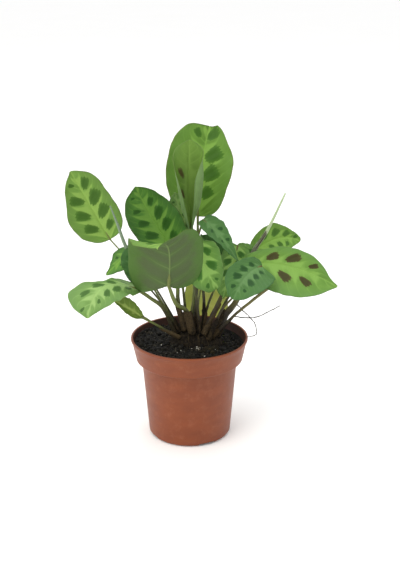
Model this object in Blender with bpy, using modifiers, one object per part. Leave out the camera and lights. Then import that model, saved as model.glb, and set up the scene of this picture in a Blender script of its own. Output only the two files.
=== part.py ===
"""Prayer plant (Maranta) in a moulded nursery pot, with its peat, crown, petioles, blades and roots.

The tables are in millimetres and the meshes in metres. +Z is up, the front of the plant looks along -Y,
and the origin is the middle of the pot's flat underside, so the pot stands on Z = 0.
"""
import math
from dataclasses import dataclass

import bmesh
import bpy
from mathutils import Vector

OBJECT_NAME = "potted_prayer_plant"
MM = 0.001

# Nursery pot, sold as 12 cm.
POT_RIM_RADIUS = 60.0
POT_HEIGHT = 105.0
POT_FOOT_RADIUS = 42.5
POT_NECK_RADIUS = 49.0
POT_BAND_LOW_RADIUS = 55.0
POT_BAND_HEIGHT = 23.0
POT_BAND_STEP = 1.5
POT_WALL = 1.3
POT_FLOOR = 1.6
POT_LIP = 1.0
LIP_ROUNDING = 0.5
LIP_DEPTH = 2.0
LIP_STEP = 0.6
BAND_CHAMFER = 0.8
MOUTH_CHAMFER = 0.4
FLOOR_CHAMFER = (1.0, 1.2)
INNER_BAND_RISE = 1.6
FOOT_ROUNDING = 3.0
FOOT_TURNS = (0.0, 35.0, 65.0, 90.0)
POT_STEPS = 40
NOTCH_COUNT = 4
NOTCH_WIDTH = 18.0
NOTCH_HEIGHT = 2.4
NOTCH_DEPTH = 9.0
NOTCH_FIRST_ANGLE = -64.5

# Peat, heaped a little higher at the front and left.
PEAT_HEIGHT = 98.0
PEAT_RISE_LEFT = 0.055
PEAT_RISE_FRONT = 0.055
PEAT_LUMP = 0.7
PEAT_RINGS = 9
PEAT_EDGE_DROP = 1.0
PEAT_EDGE_GAP = 0.6

# Crown: the knot of short rhizome and old sheaths that every petiole comes from.
CROWN_CENTRE = (7.0, 0.0)
CROWN_RADII = (28.0, 15.0)
CROWN_RISE = 14.0
CROWN_SEGMENTS = 20
CROWN_RINGS = 10

GAP = 0.3
BLADE_THICKNESS = 0.6
BLADE_END = 0.8
OVAL_END = 0.965
TIP_POINT = 2.0
SHOULDER_START = 0.84
SHOULDER_FULL = 0.97
SHOULDER_END = 0.02
JOINT_GAP = 2.2
STEM_SEAT = 0.9
SECTION_STEPS = 12
SPAN_STEPS = 3
TUBE_RESOLUTION = 1


@dataclass(frozen=True)
class Finish:
    """A material of the model: its colour (linear), roughness and name."""

    name: str
    colour: tuple
    roughness: float


@dataclass(frozen=True)
class Leaf:
    """A blade, given by its midrib, its half-widths and the way its upper face looks.

    Pairs are for the left and right half, seen from above with the tip ahead. fold is how far each
    half rises from the flat at the midrib and curl how much further it has turned at its edge, both
    in degrees; fold_tip and curl_tip hold at the tip. roll above 1 brings the turning nearer the edge.
    lobe is how far the base reaches back past the petiole, and fullness is the power of the oval. Where
    edges are given they take the oval's place: half-widths at nine stations, closer together at the ends.
    shoulders are how far the outline stands ahead of the tip on each side of it.
    """

    name: str
    midrib: tuple
    halves: tuple
    face: tuple
    face_tip: tuple = None
    fold: tuple = (10.0, 10.0)
    fold_tip: tuple = None
    curl: tuple = (10.0, 10.0)
    curl_tip: tuple = None
    widest: tuple = (0.48, 0.48)
    fullness: float = 2.4
    roll: float = 1.0
    lobe: float = 6.0
    ripple: float = 0.0
    waves: float = 2.0
    cells: tuple = (10, 4)
    finish: str = "leaf_green"
    edges: tuple = ()
    shoulders: tuple = (0.0, 0.0)


@dataclass(frozen=True)
class Stem:
    """A petiole, spear or root: the points it passes and its radius at each, both in millimetres."""

    name: str
    points: tuple
    radii: tuple
    finish: str = "petiole"
    meets: str = ""


FINISHES = (
    Finish("pot_plastic", (0.38, 0.12, 0.052), 0.42),
    Finish("peat", (0.012, 0.009, 0.007), 0.95),
    Finish("crown", (0.06, 0.035, 0.018), 0.8),
    Finish("leaf_green", (0.20, 0.40, 0.07), 0.45),
    Finish("leaf_dark", (0.06, 0.17, 0.055), 0.45),
    Finish("leaf_under", (0.13, 0.19, 0.07), 0.6),
    Finish("leaf_old", (0.33, 0.38, 0.07), 0.55),
    Finish("petiole", (0.12, 0.11, 0.03), 0.5),
    Finish("petiole_brown", (0.07, 0.035, 0.015), 0.6),
    Finish("spear", (0.42, 0.5, 0.3), 0.5),
    Finish("root", (0.09, 0.075, 0.06), 0.8),
)

LEAVES = (
    Leaf("leaf_upper_left", ((-81, 30, 200), (-99, 33, 233), (-118, 28, 271)), (23, 26),
         (-0.1, -0.95, 0.3), widest=(0.37, 0.5), fullness=2.6, fold=(8, 8), curl=(10, 10), lobe=2,
         edges=((9, 17, 24, 27.5, 27.5, 22, 16.5, 10.5, 3),
                (12, 19, 23.5, 25.5, 24.5, 23.5, 22, 17, 8))),
    Leaf("leaf_left_middle", ((-15, 4, 192), (-36, 8, 227), (-52, 0, 262)), (26.5, 29.5),
         (0.0, -0.9, 0.4), fold=(10, 22), curl=(12, 20), ripple=0.8, widest=(0.55, 0.52),
         edges=((8.5, 12, 17.5, 23, 25, 24.5, 21.5, 15.5, 6),
                (8, 21, 27.5, 29.5, 30, 27, 21.5, 16.5, 9.5))),
    Leaf("leaf_top", ((9, 32, 224), (12, 35, 270), (21, 44, 313)), (36, 33), (-0.1, -0.98, 0.2),
         fold=(14, 14), curl=(12, 8), widest=(0.5, 0.6), fullness=2.6, lobe=3, ripple=1.0,
         cells=(10, 6),
         shoulders=(0.5, 4.5),
         edges=((13.5, 21.5, 29, 34, 36, 35, 33, 27, 18),
                (12, 21, 27, 30, 33.5, 33.5, 28, 19, 9))),
    Leaf("leaf_furled", ((2, 6, 212), (0, 2, 262), (1, -6, 309)), (20, 24), (0.0, -1.0, 0.1),
         fold=(20, 12), curl=(205, 380), fold_tip=(4, 4), curl_tip=(-10, 0), widest=(0.66, 0.6),
         fullness=2.2, roll=2.2, lobe=0, cells=(12, 16),
         edges=((2, 7, 13, 18, 20, 20, 19, 14, 5),
                (2, 8, 17, 28, 31, 29, 22, 16.5, 7))),
    Leaf("leaf_tucked", ((-4, 20, 206), (-9, 21, 230), (-14, 18, 252)), (11, 11), (0.1, -1.0, 0.2),
         cells=(8, 4)),
    Leaf("leaf_front", ((-20, -37, 173), (-19, -65, 219), (-28, -91, 227)), (31, 39),
         (0.05, 0.62, 0.78), fold=(12, 3), curl=(20, 14), ripple=1.2, waves=3, lobe=34,
         fullness=2.6, widest=(0.46, 0.5), finish="leaf_under", cells=(12, 6),
         edges=((11, 24, 32.5, 33.5, 33, 31, 27, 21, 11),
                (24, 34, 40, 41, 40, 37, 33, 27, 14))),
    Leaf("leaf_behind_front", ((-38, -9, 165), (-50, -16, 186), (-58, -18, 208)), (15, 15),
         (-0.2, -0.9, 0.3), lobe=1, finish="leaf_dark", cells=(8, 4)),
    Leaf("leaf_small_left", ((-53, 14, 193), (-66, 14, 186), (-84, 10, 168)), (12, 8),
         (-0.3, -0.6, 0.7), cells=(8, 4),
         edges=((5, 9.5, 13.5, 17, 19, 17.5, 12, 7, 3),
                (5, 6, 7, 8.5, 10.5, 10, 5.5, 2.5, 1.2))),
    Leaf("leaf_low_left", ((-50, -14, 160), (-82, -36, 172), (-97, -56, 147)), (25, 25),
         (0.0, -0.12, 1.0), face_tip=(-0.35, -0.95, 0.3), fold=(0, 0), curl=(5, 5), ripple=1.2, waves=3,
         cells=(12, 4),
         edges=((6, 14.5, 23.5, 28, 28, 24, 19, 9.5, 3),
                (13, 20, 15, 9.5, 12, 20, 27, 19, 6))),
    Leaf("leaf_olive", ((-46, -14, 131), (-59, -20, 142), (-74, -24, 153)), (7, 9), (0.3, -0.8, 0.5),
         lobe=1, finish="leaf_old", cells=(8, 4),
         edges=((1.5, 3, 5, 6.5, 6.5, 5.5, 3.5, 2.5, 1.2),
                (1.5, 3, 5, 7, 8.5, 9.5, 8.5, 6, 2))),
    Leaf("leaf_hanging", ((8, -6, 209), (15, -15, 186), (28, -22, 165)), (19, 19),
         (-0.5, -0.8, 0.5), widest=(0.5, 0.7), ripple=1.0, lobe=0,
         edges=((8, 20, 23.5, 23.5, 22.5, 20.5, 16.5, 10.5, 5.5),
                (4, 9, 14, 17.5, 20, 20.5, 17, 12, 8.5))),
    Leaf("leaf_arched", ((14, 6, 227), (30, -3, 214), (48, -10, 189)), (11, 13), (0.3, -0.6, 0.8),
         widest=(0.42, 0.3), lobe=2, finish="leaf_dark", cells=(8, 4),
         edges=((6, 9.5, 11, 12.5, 11, 8.5, 5, 3, 1.2),
                (6.5, 10.5, 13.5, 14.5, 12.5, 9, 6.5, 3.5, 1.5))),
    Leaf("leaf_inner", ((34, 22, 178), (22, 25, 191), (12, 22, 207)), (11, 11), (0.0, -0.9, 0.4),
         finish="leaf_dark", cells=(8, 4)),
    Leaf("leaf_inner_right", ((49, 12, 198), (43, 6, 176), (34, 0, 146)), (16, 16), (0.2, -0.95, 0.2),
         cells=(8, 4)),
    Leaf("leaf_inner_wavy", ((70, 28, 175), (59, 28, 184), (47, 29, 191)), (11, 11), (0.1, -0.7, 0.7),
         ripple=1.0, cells=(8, 4)),
    Leaf("leaf_dark_right", ((71, -20, 187), (55, -38, 183), (42, -60, 167)), (22, 20),
         (0.15, -0.72, 0.68), widest=(0.34, 0.66), fold=(8, 8), lobe=8, finish="leaf_dark",
         edges=((12, 20, 22, 24.5, 24.5, 22.5, 18.5, 12.5, 7.5),
                (5, 9.5, 12, 14.5, 17, 18, 16, 10.5, 6.5))),
    Leaf("leaf_right", ((60, -4, 184), (101, -11, 183), (145, -28, 168)), (20, 28), (0.05, -0.7, 0.7),
         widest=(0.35, 0.62), fold=(14, 6), curl=(14, 6), lobe=8,
         edges=((8.5, 11.5, 14, 17.5, 19, 17.5, 12, 4.5, 1.5),
                (11.5, 18.5, 27, 33, 35, 34, 29, 18, 6))),
    Leaf("leaf_far_right", ((66, 40, 182), (92, 44, 196), (115, 38, 195)), (16, 15),
         (-0.1, -0.75, 0.65), fold=(8, 8), cells=(8, 4),
         edges=((4, 9, 12.5, 15.5, 17, 12, 8, 5, 3),
                (6, 11, 16.5, 19, 20, 20, 17, 12, 6))),
    Leaf("leaf_old", ((20, 62, 150), (18, 72, 116), (16, 76, 74)), (25, 25), (0.0, -0.9, 0.2),
         finish="leaf_old"),
)

STEMS = (
    Stem("petiole_low_left", ((-15, -2), (-26, -8, 138), (-38, -11, 150)), (1.6, 2.2, 1.8),
         meets="leaf_low_left"),
    Stem("petiole_olive", ((-12, -8), (-33, -14, 123)), (1.7, 1.4, 1.2), meets="leaf_olive"),
    Stem("petiole_upper_left", ((-15, 6), (-28, 8, 137), (-48, 15, 161), (-66, 24, 184)),
         (1.5, 1.1, 1.0, 0.9, 0.8), meets="leaf_upper_left"),
    Stem("petiole_behind_front", ((-11, 1.5), (-23, -1, 134)), (1.5, 1.2, 1.0), meets="leaf_behind_front"),
    Stem("petiole_small_left", ((-10, 7), (-26, 6, 141), (-43, 10, 170)), (1.5, 1.1, 1.0, 0.9),
         meets="leaf_small_left"),
    Stem("petiole_front", ((2, -8), (-3, -15, 138), (-13, -30, 152)), (3.2, 2.6, 2.2, 1.2),
         meets="leaf_front"),
    Stem("petiole_left_middle", ((-5, -1), (-11, 3, 138), (-12, 5, 160)), (2.6, 2.4, 1.8, 1.2),
         meets="leaf_left_middle"),
    Stem("petiole_tucked", ((-3, 8), (-5, 12, 138), (-7, 16, 165)), (1.8, 1.5, 1.3, 1.0),
         meets="leaf_tucked"),
    Stem("petiole_furled", ((2, 1), (3, 2, 130), (5, 4, 158)), (2.0, 1.7, 1.5, 1.3), meets="leaf_furled"),
    Stem("petiole_top", ((5, 9), (7, 14, 140), (9, 22, 175)), (2.0, 1.8, 1.6, 1.3), meets="leaf_top"),
    Stem("petiole_hanging", ((10, -4), (8, -3, 140), (5, 1, 170), (5, 2, 197)),
         (2.0, 1.6, 1.4, 1.2, 1.0), meets="leaf_hanging"),
    Stem("petiole_arched", ((15, 3), (15, 5, 140), (12, 7, 180), (9, 6, 206)), (2.0, 1.6, 1.3, 1.0),
         meets="leaf_arched"),
    Stem("petiole_inner", ((12, 10), (20, 16, 135), (28, 20, 155)), (1.6, 1.4, 1.2, 1.0),
         meets="leaf_inner"),
    Stem("petiole_inner_right", ((16, -6), (24, -3, 130), (35, 7, 150), (49, 17, 180)),
         (2.6, 2.4, 2.2, 1.2, 1.0), "petiole_brown", "leaf_inner_right"),
    Stem("petiole_dark_right", ((21, -10), (31, -14, 136), (42, -18, 152), (58, -20, 170)),
         (1.8, 1.4, 1.2, 1.1, 1.0), "petiole_brown", "leaf_dark_right"),
    Stem("petiole_right", ((25, 1), (38, 4, 128), (47, 5, 140), (58, 1, 164)),
         (3.4, 3.9, 3.2, 1.6, 1.2), "petiole_brown", "leaf_right"),
    Stem("petiole_far_right", ((24, 9), (36, 18, 132), (52, 30, 156)), (2.0, 1.6, 1.3, 1.0),
         meets="leaf_far_right"),
    Stem("petiole_inner_wavy", ((30, 6), (44, 14, 132), (60, 26, 156)), (1.8, 1.5, 1.3, 1.0),
         meets="leaf_inner_wavy"),
    Stem("petiole_old", ((8, 13), (9, 28, 128), (14, 48, 146)), (1.6, 1.3, 1.2, 0.9),
         meets="leaf_old"),
    Stem("petiole_bare", ((25, -6), (46, -10, 132), (61, -14, 147), (85, -20, 170)),
         (1.9, 1.6, 1.7, 2.0), "petiole_brown"),
    Stem("spear_left", ((-48, -4, 178), (-61, -5, 200), (-69, -8, 224), (-76, -12, 246)),
         (1.2, 1.7, 1.4, 0.5), "spear"),
    Stem("spear_right", ((52, 10, 160), (64, 12, 190), (78, 12, 213), (95, 8, 253)),
         (2.0, 2.1, 1.7, 0.8), "spear"),
    Stem("root_long", ((44, -4, 128), (55, -10, 129), (67, -12, 130), (80, -14, 137), (91, -16, 144)),
         (0.6, 0.55, 0.5, 0.45, 0.4), "root"),
    Stem("root_looped", ((49, 0, 139), (54, -8, 136), (61, -12, 130), (66, -14, 124), (68, -16, 116),
                         (66, -16, 112), (58, -13, 109)), (0.5, 0.5, 0.45, 0.45, 0.4, 0.4, 0.35), "root"),
)


def clear_scene():
    """Remove every object of the open scene."""
    for thing in list(bpy.data.objects):
        bpy.data.objects.remove(thing, do_unlink=True)


def new_collection(name):
    """Add a collection to the scene."""
    collection = bpy.data.collections.new(name)
    bpy.context.scene.collection.children.link(collection)
    return collection


def make_materials():
    """Make one Principled material for each finish and return them by name."""
    materials = {}
    for finish in FINISHES:
        material = bpy.data.materials.new(finish.name)
        material.use_nodes = True
        shader = material.node_tree.nodes["Principled BSDF"]
        shader.inputs["Base Color"].default_value = (*finish.colour, 1.0)
        shader.inputs["Roughness"].default_value = finish.roughness
        shader.inputs["Metallic"].default_value = 0.0
        material.diffuse_color = (*finish.colour, 1.0)
        materials[finish.name] = material
    return materials


def add_object(name, data, collection, material):
    """Link a named object with its own material."""
    thing = bpy.data.objects.new(name, data)
    collection.objects.link(thing)
    data.materials.append(material)
    return thing


def peat_top(x, y):
    """Height of the peat's surface at a point, in millimetres."""
    lumps = math.sin(x / 7.0 + 1.3) * math.cos(y / 6.0) + 0.6 * math.sin(x / 4.1 - y / 5.3)
    return PEAT_HEIGHT - PEAT_RISE_LEFT * x - PEAT_RISE_FRONT * y + PEAT_LUMP * lumps


def crown_top(x, y):
    """Height of the crown's surface at a point, in millimetres."""
    across = (x - CROWN_CENTRE[0]) / CROWN_RADII[0]
    deep = (y - CROWN_CENTRE[1]) / CROWN_RADII[1]
    inside = max(1.0 - across * across - deep * deep, 0.0)
    return peat_top(x, y) + GAP + CROWN_RISE * math.sqrt(inside)


def turned(name, profile, steps, collection, material):
    """Turn a closed profile of (radius, height) points round Z into a solid."""
    mesh = bpy.data.meshes.new(name)
    points = [(radius * MM, 0.0, height * MM) for radius, height in profile]
    edges = [(index, index + 1) for index in range(len(points) - 1)]
    mesh.from_pydata(points, edges, [])
    thing = add_object(name, mesh, collection, material)
    screw = thing.modifiers.new("turn", "SCREW")
    screw.steps = steps
    screw.render_steps = steps
    screw.use_merge_vertices = True
    screw.merge_threshold = 0.00001
    screw.use_smooth_shade = True
    return thing


def pot_outside():
    """Outer profile of the pot from its lip down to the rounded foot."""
    band_low = POT_HEIGHT - POT_BAND_HEIGHT
    foot = [(POT_FOOT_RADIUS + FOOT_ROUNDING * (math.cos(turn) - 1.0), FOOT_ROUNDING * (1.0 - math.sin(turn)))
            for turn in map(math.radians, FOOT_TURNS)]
    return [(POT_RIM_RADIUS - LIP_ROUNDING, POT_HEIGHT),
            (POT_RIM_RADIUS, POT_HEIGHT - LIP_ROUNDING),
            (POT_RIM_RADIUS, POT_HEIGHT - LIP_DEPTH),
            (POT_RIM_RADIUS - POT_LIP, POT_HEIGHT - LIP_DEPTH - LIP_STEP),
            (POT_BAND_LOW_RADIUS, band_low + BAND_CHAMFER),
            (POT_BAND_LOW_RADIUS - BAND_CHAMFER, band_low),
            (POT_NECK_RADIUS, band_low - POT_BAND_STEP)] + foot


def pot_inside():
    """Inner profile of the pot from its floor up to the lip."""
    band_low = POT_HEIGHT - POT_BAND_HEIGHT
    mouth = POT_RIM_RADIUS - POT_LIP - POT_WALL
    return [(POT_FOOT_RADIUS - POT_WALL - FLOOR_CHAMFER[0], POT_FLOOR),
            (POT_FOOT_RADIUS - POT_WALL, POT_FLOOR + FLOOR_CHAMFER[1]),
            (POT_NECK_RADIUS - POT_WALL, band_low),
            (POT_BAND_LOW_RADIUS - POT_WALL, band_low + INNER_BAND_RISE),
            (mouth, POT_HEIGHT - MOUTH_CHAMFER),
            (mouth + MOUTH_CHAMFER, POT_HEIGHT)]


def notch_cutters(material):
    """Blocks that cut the drainage slots through the foot, spaced evenly round it."""
    cutters = new_collection("cutters")
    bodies = []
    for index in range(NOTCH_COUNT):
        angle = math.radians(NOTCH_FIRST_ANGLE + 360.0 / NOTCH_COUNT * index)
        mesh = bpy.data.meshes.new("notch")
        shape = bmesh.new()
        bmesh.ops.create_cube(shape, size=1.0)
        bmesh.ops.scale(shape, vec=(2.0 * NOTCH_DEPTH * MM, NOTCH_WIDTH * MM, 2.0 * NOTCH_HEIGHT * MM),
                        verts=shape.verts)
        shape.to_mesh(mesh)
        shape.free()
        cutter = add_object("notch_%d" % (index + 1), mesh, cutters, material)
        cutter.location = Vector((math.cos(angle), math.sin(angle), 0.0)) * POT_FOOT_RADIUS * MM
        cutter.rotation_euler = (0.0, 0.0, angle)
        cutter.hide_render = True
        cutter.display_type = "WIRE"
        bodies.append(cutter)
    return bodies


def make_pot(collection, materials):
    """The pot: a turned shell, with its drainage slots cut by Booleans."""
    profile = [(0.0, POT_FLOOR)] + pot_inside() + pot_outside() + [(0.0, 0.0)]
    pot = turned("pot", profile[::-1], POT_STEPS, collection, materials["pot_plastic"])
    for cutter in notch_cutters(materials["pot_plastic"]):
        cut = pot.modifiers.new(cutter.name, "BOOLEAN")
        cut.operation = "DIFFERENCE"
        cut.object = cutter
    return pot


def make_peat(collection, materials):
    """The peat: it fills the pot with a small gap, and its top is heaped and lumpy."""
    wall = [(radius - GAP, max(height, POT_FLOOR + GAP)) for radius, height in pot_inside()[:4]]
    edge_height = PEAT_HEIGHT - PEAT_EDGE_DROP
    slope = (POT_RIM_RADIUS - POT_LIP - POT_BAND_LOW_RADIUS) / (POT_BAND_HEIGHT - LIP_DEPTH)
    edge = wall[-1][0] + slope * (edge_height - wall[-1][1]) - PEAT_EDGE_GAP
    rings = [(edge * (1.0 - ring / PEAT_RINGS), edge_height) for ring in range(PEAT_RINGS + 1)]
    profile = [(0.0, POT_FLOOR + GAP)] + wall + rings
    peat = turned("peat", profile[::-1], POT_STEPS, collection, materials["peat"])
    graph = bpy.context.evaluated_depsgraph_get()
    mesh = bpy.data.meshes.new_from_object(peat.evaluated_get(graph))
    bpy.data.objects.remove(peat, do_unlink=True)
    for vertex in mesh.vertices:
        if vertex.co.z > (edge_height - GAP) * MM:
            vertex.co.z = peat_top(vertex.co.x / MM, vertex.co.y / MM) * MM
    mesh.name = "peat"
    heaped = bpy.data.objects.new("peat", mesh)
    collection.objects.link(heaped)
    return heaped


def make_crown(collection, materials):
    """The crown: a low mound on the peat, which follows the peat's surface underneath."""
    mesh = bpy.data.meshes.new("crown")
    shape = bmesh.new()
    bmesh.ops.create_uvsphere(shape, u_segments=CROWN_SEGMENTS, v_segments=CROWN_RINGS, radius=1.0)
    for vertex in shape.verts:
        x = CROWN_CENTRE[0] + CROWN_RADII[0] * vertex.co.x
        y = CROWN_CENTRE[1] + CROWN_RADII[1] * vertex.co.y
        rise = CROWN_RISE * max(vertex.co.z, 0.0)
        vertex.co = Vector((x, y, peat_top(x, y) + 2.0 * GAP + rise)) * MM
    shape.to_mesh(mesh)
    shape.free()
    mesh.shade_smooth()
    return add_object("crown", mesh, collection, materials["crown"])


def midrib_at(leaf, along):
    """Point and direction of the parabola through a midrib's base, halfway and tip points."""
    base, half, tip = (Vector(point) for point in leaf.midrib)
    slope = 4.0 * half - 3.0 * base - tip
    bend = 2.0 * (base - 2.0 * half + tip)
    return base + slope * along + bend * along * along, (slope + 2.0 * bend * along).normalized()


def edge_width(stations, along):
    """Half-width between the stations of a leaf's own outline, in millimetres."""
    widths = (0.0, *stations, 0.0)
    place = math.acos(max(min(1.0 - 2.0 * along, 1.0), -1.0)) / math.pi * (len(widths) - 1)
    index = min(int(place), len(widths) - 2)
    return max(mix(widths[index], widths[index + 1], place - index), BLADE_END)


def half_width(leaf, along, side):
    """Width of one half of the blade in millimetres: its own outline, or an oval with a small point."""
    if leaf.edges:
        return edge_width(leaf.edges[side], along)
    warp = math.log(0.5) / math.log(leaf.widest[side])
    place = min(along / OVAL_END, 1.0) ** warp
    oval = max(1.0 - abs(2.0 * place - 1.0) ** leaf.fullness, 0.0) ** (1.0 / leaf.fullness)
    point = TIP_POINT * min((1.0 - along) / (2.0 * (1.0 - OVAL_END)), 1.0)
    return max(leaf.halves[side] * oval, point if along > 0.5 else 0.0, BLADE_END)


def mix(start, end, along):
    """Value part of the way from start to end."""
    return start + (end - start) * along


def cross_section(fold, curl, roll, reach):
    """Distance out and up, for a half of width 1, of the point a share reach of the way to the edge."""
    step = reach / SECTION_STEPS
    turns = [fold + curl * ((index + 0.5) * step) ** roll for index in range(SECTION_STEPS)]
    return sum(math.cos(turn) for turn in turns) * step, sum(math.sin(turn) for turn in turns) * step


def shoulder_share(along):
    """How much of the shoulder's lead the outline has at a place along the blade."""
    rise = max(min((along - SHOULDER_START) / (SHOULDER_FULL - SHOULDER_START), 1.0), 0.0)
    fall = min((1.0 - along) / SHOULDER_END, 1.0)
    return rise * rise * (3.0 - 2.0 * rise) * fall


def blade_point(leaf, along, across):
    """Point on a blade: along runs 0 to 1 from base to tip, across -1 to 1 from left to right."""
    point, ahead = midrib_at(leaf, along)
    opened = along * along
    face = Vector(leaf.face).lerp(Vector(leaf.face_tip or leaf.face), opened)
    up = (face - ahead * face.dot(ahead)).normalized()
    right = ahead.cross(up)
    side = 0 if across < 0.0 else 1
    reach = abs(across)
    fold = math.radians(mix(leaf.fold[side], (leaf.fold_tip or leaf.fold)[side], opened))
    curl = math.radians(mix(leaf.curl[side], (leaf.curl_tip or leaf.curl)[side], opened))
    half = half_width(leaf, along, side)
    outward, lift = (half * share for share in cross_section(fold, curl, leaf.roll, reach))
    lift += leaf.ripple * reach * reach * math.sin(math.tau * leaf.waves * along + 2.0 * side)
    back = leaf.lobe * reach * (half / leaf.halves[side]) * (1.0 - along) ** 3
    back -= leaf.shoulders[side] * reach * reach * shoulder_share(along)
    return point + right * math.copysign(outward, across) + up * lift - ahead * back


def make_leaf(leaf, collection, materials):
    """A blade: a grid laid over the leaf's surface and made solid."""
    lengths, widths = leaf.cells
    mesh = bpy.data.meshes.new(leaf.name)
    shape = bmesh.new()
    bmesh.ops.create_grid(shape, x_segments=widths, y_segments=lengths, size=1.0)
    for vertex in shape.verts:
        along = 0.5 - 0.5 * math.cos(math.pi * (vertex.co.y + 1.0) / 2.0)
        across = vertex.co.x if abs(vertex.co.x) > 1e-6 else 0.0
        vertex.co = blade_point(leaf, along, across) * MM
    shape.to_mesh(mesh)
    shape.free()
    mesh.shade_smooth()
    blade = add_object(leaf.name, mesh, collection, materials[leaf.finish])
    thicken = blade.modifiers.new("thickness", "SOLIDIFY")
    thicken.thickness = BLADE_THICKNESS * MM
    thicken.offset = 0.0
    return blade


def radius_at(radii, along):
    """Radius part of the way along a stem whose radii are spread evenly over its length."""
    place = along * (len(radii) - 1)
    index = min(int(place), len(radii) - 2)
    return mix(radii[index], radii[index + 1], place - index)


def smooth_route(points, radii):
    """Points and radii along a smooth curve through the given points (Catmull-Rom)."""
    anchors = [Vector(point) for point in points]
    ends = [2.0 * anchors[0] - anchors[1]] + anchors + [2.0 * anchors[-1] - anchors[-2]]
    route = []
    for span in range(len(anchors) - 1):
        before, start, end, after = ends[span:span + 4]
        for step in range(SPAN_STEPS):
            t = step / SPAN_STEPS
            place = 0.5 * (2.0 * start + (end - before) * t
                           + (2.0 * before - 5.0 * start + 4.0 * end - after) * t * t
                           + (3.0 * start - before - 3.0 * end + after) * t ** 3)
            along = (span + t) / (len(anchors) - 1)
            route.append((place, radius_at(radii, along)))
    route.append((anchors[-1], radii[-1]))
    return route


def stem_points(stem):
    """The stem's own points, with its foot put on the crown and its top at its blade's base."""
    points = [Vector(point) for point in stem.points if len(point) == 3]
    if len(stem.points[0]) == 2:
        x, y = stem.points[0]
        points.insert(0, Vector((x, y, crown_top(x, y) + GAP + STEM_SEAT * stem.radii[0])))
    if stem.meets:
        leaf = next(leaf for leaf in LEAVES if leaf.name == stem.meets)
        base = Vector(leaf.midrib[0])
        approach = (points[-1] - base).normalized()
        points.append(base + approach * JOINT_GAP)
    return points


def make_stem(stem, collection, materials):
    """A round stem with filled ends, thick or thin as its radii say."""
    points = stem_points(stem)
    radii = stem.radii
    curve = bpy.data.curves.new(stem.name, "CURVE")
    curve.dimensions = "3D"
    curve.bevel_depth = MM
    curve.bevel_resolution = TUBE_RESOLUTION
    curve.use_fill_caps = True
    spline = curve.splines.new("POLY")
    route = smooth_route(points, radii)
    spline.points.add(len(route) - 1)
    for point, (place, radius) in zip(spline.points, route):
        point.co = (*(place * MM), 1.0)
        point.radius = radius
    return add_object(stem.name, curve, collection, materials[stem.finish])


def main():
    """Build the whole plant in its pot."""
    clear_scene()
    materials = make_materials()
    collection = new_collection(OBJECT_NAME)
    make_pot(collection, materials)
    make_peat(collection, materials)
    make_crown(collection, materials)
    for leaf in LEAVES:
        make_leaf(leaf, collection, materials)
    for stem in STEMS:
        make_stem(stem, collection, materials)


main()
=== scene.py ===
"""Potted prayer plant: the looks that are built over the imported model.

The plant is a small Maranta in a moulded nursery pot. Tables are in millimetres, and every piece is made in
metres in the frame's own axes: +Z up, the front of the plant towards -Y, the pot standing on Z = 0.
"""
from __future__ import annotations

import logging
import math
from dataclasses import dataclass, field
from enum import Enum

import bmesh
import bpy
import numpy as np
from bpy.types import Material, NodeSocket, NodeTree, Object
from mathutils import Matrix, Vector, noise
from numpy.random import RandomState

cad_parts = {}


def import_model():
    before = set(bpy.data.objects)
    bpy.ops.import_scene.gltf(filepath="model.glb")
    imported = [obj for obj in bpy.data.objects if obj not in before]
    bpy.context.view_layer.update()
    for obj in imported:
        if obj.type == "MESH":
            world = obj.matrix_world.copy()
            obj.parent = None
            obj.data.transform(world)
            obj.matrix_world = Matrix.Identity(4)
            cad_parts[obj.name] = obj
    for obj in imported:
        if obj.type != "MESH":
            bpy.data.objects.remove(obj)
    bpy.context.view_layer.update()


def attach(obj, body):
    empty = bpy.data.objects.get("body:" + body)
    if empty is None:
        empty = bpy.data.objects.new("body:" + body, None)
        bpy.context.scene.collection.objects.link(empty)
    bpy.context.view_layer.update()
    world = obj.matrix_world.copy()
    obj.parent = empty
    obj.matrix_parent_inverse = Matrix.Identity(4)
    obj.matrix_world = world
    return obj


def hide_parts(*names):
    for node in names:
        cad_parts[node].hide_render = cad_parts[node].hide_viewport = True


MM = 0.001
TAU = math.tau
BODY = "root"
LOG = logging.getLogger("prayer_plant")


# ---- Small tools ----


class Slot(Enum):
    """The record's material slots."""

    POT = "pot_plastic"
    PEAT = "peat"
    CROWN = "crown"
    GREEN = "leaf_green"
    DARK = "leaf_dark"
    UNDER = "leaf_under"
    OLD = "leaf_old"
    PETIOLE = "petiole"
    BROWN = "petiole_brown"
    SPEAR = "spear"
    ROOT = "root"


class Side(Enum):
    """Half of a blade, seen on its upper face with the tip ahead."""

    LEFT = 0
    RIGHT = 1


def linear(code: str) -> tuple[float, float, float, float]:
    """Turn an sRGB hex colour into linear light.

    Args:
        code: The colour as "#rrggbb".

    Returns:
        Red, green, blue and an alpha of 1.
    """
    channels = [int(code[start:start + 2], 16) / 255.0 for start in (1, 3, 5)]
    lit = [c / 12.92 if c <= 0.04045 else ((c + 0.055) / 1.055) ** 2.4 for c in channels]
    return lit[0], lit[1], lit[2], 1.0


# The output that a node gives back, for kinds where it isn't the first one.
OUTPUTS = {"Attribute": "Fac", "Mix": 2, "TexCoord": "Object"}


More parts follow.
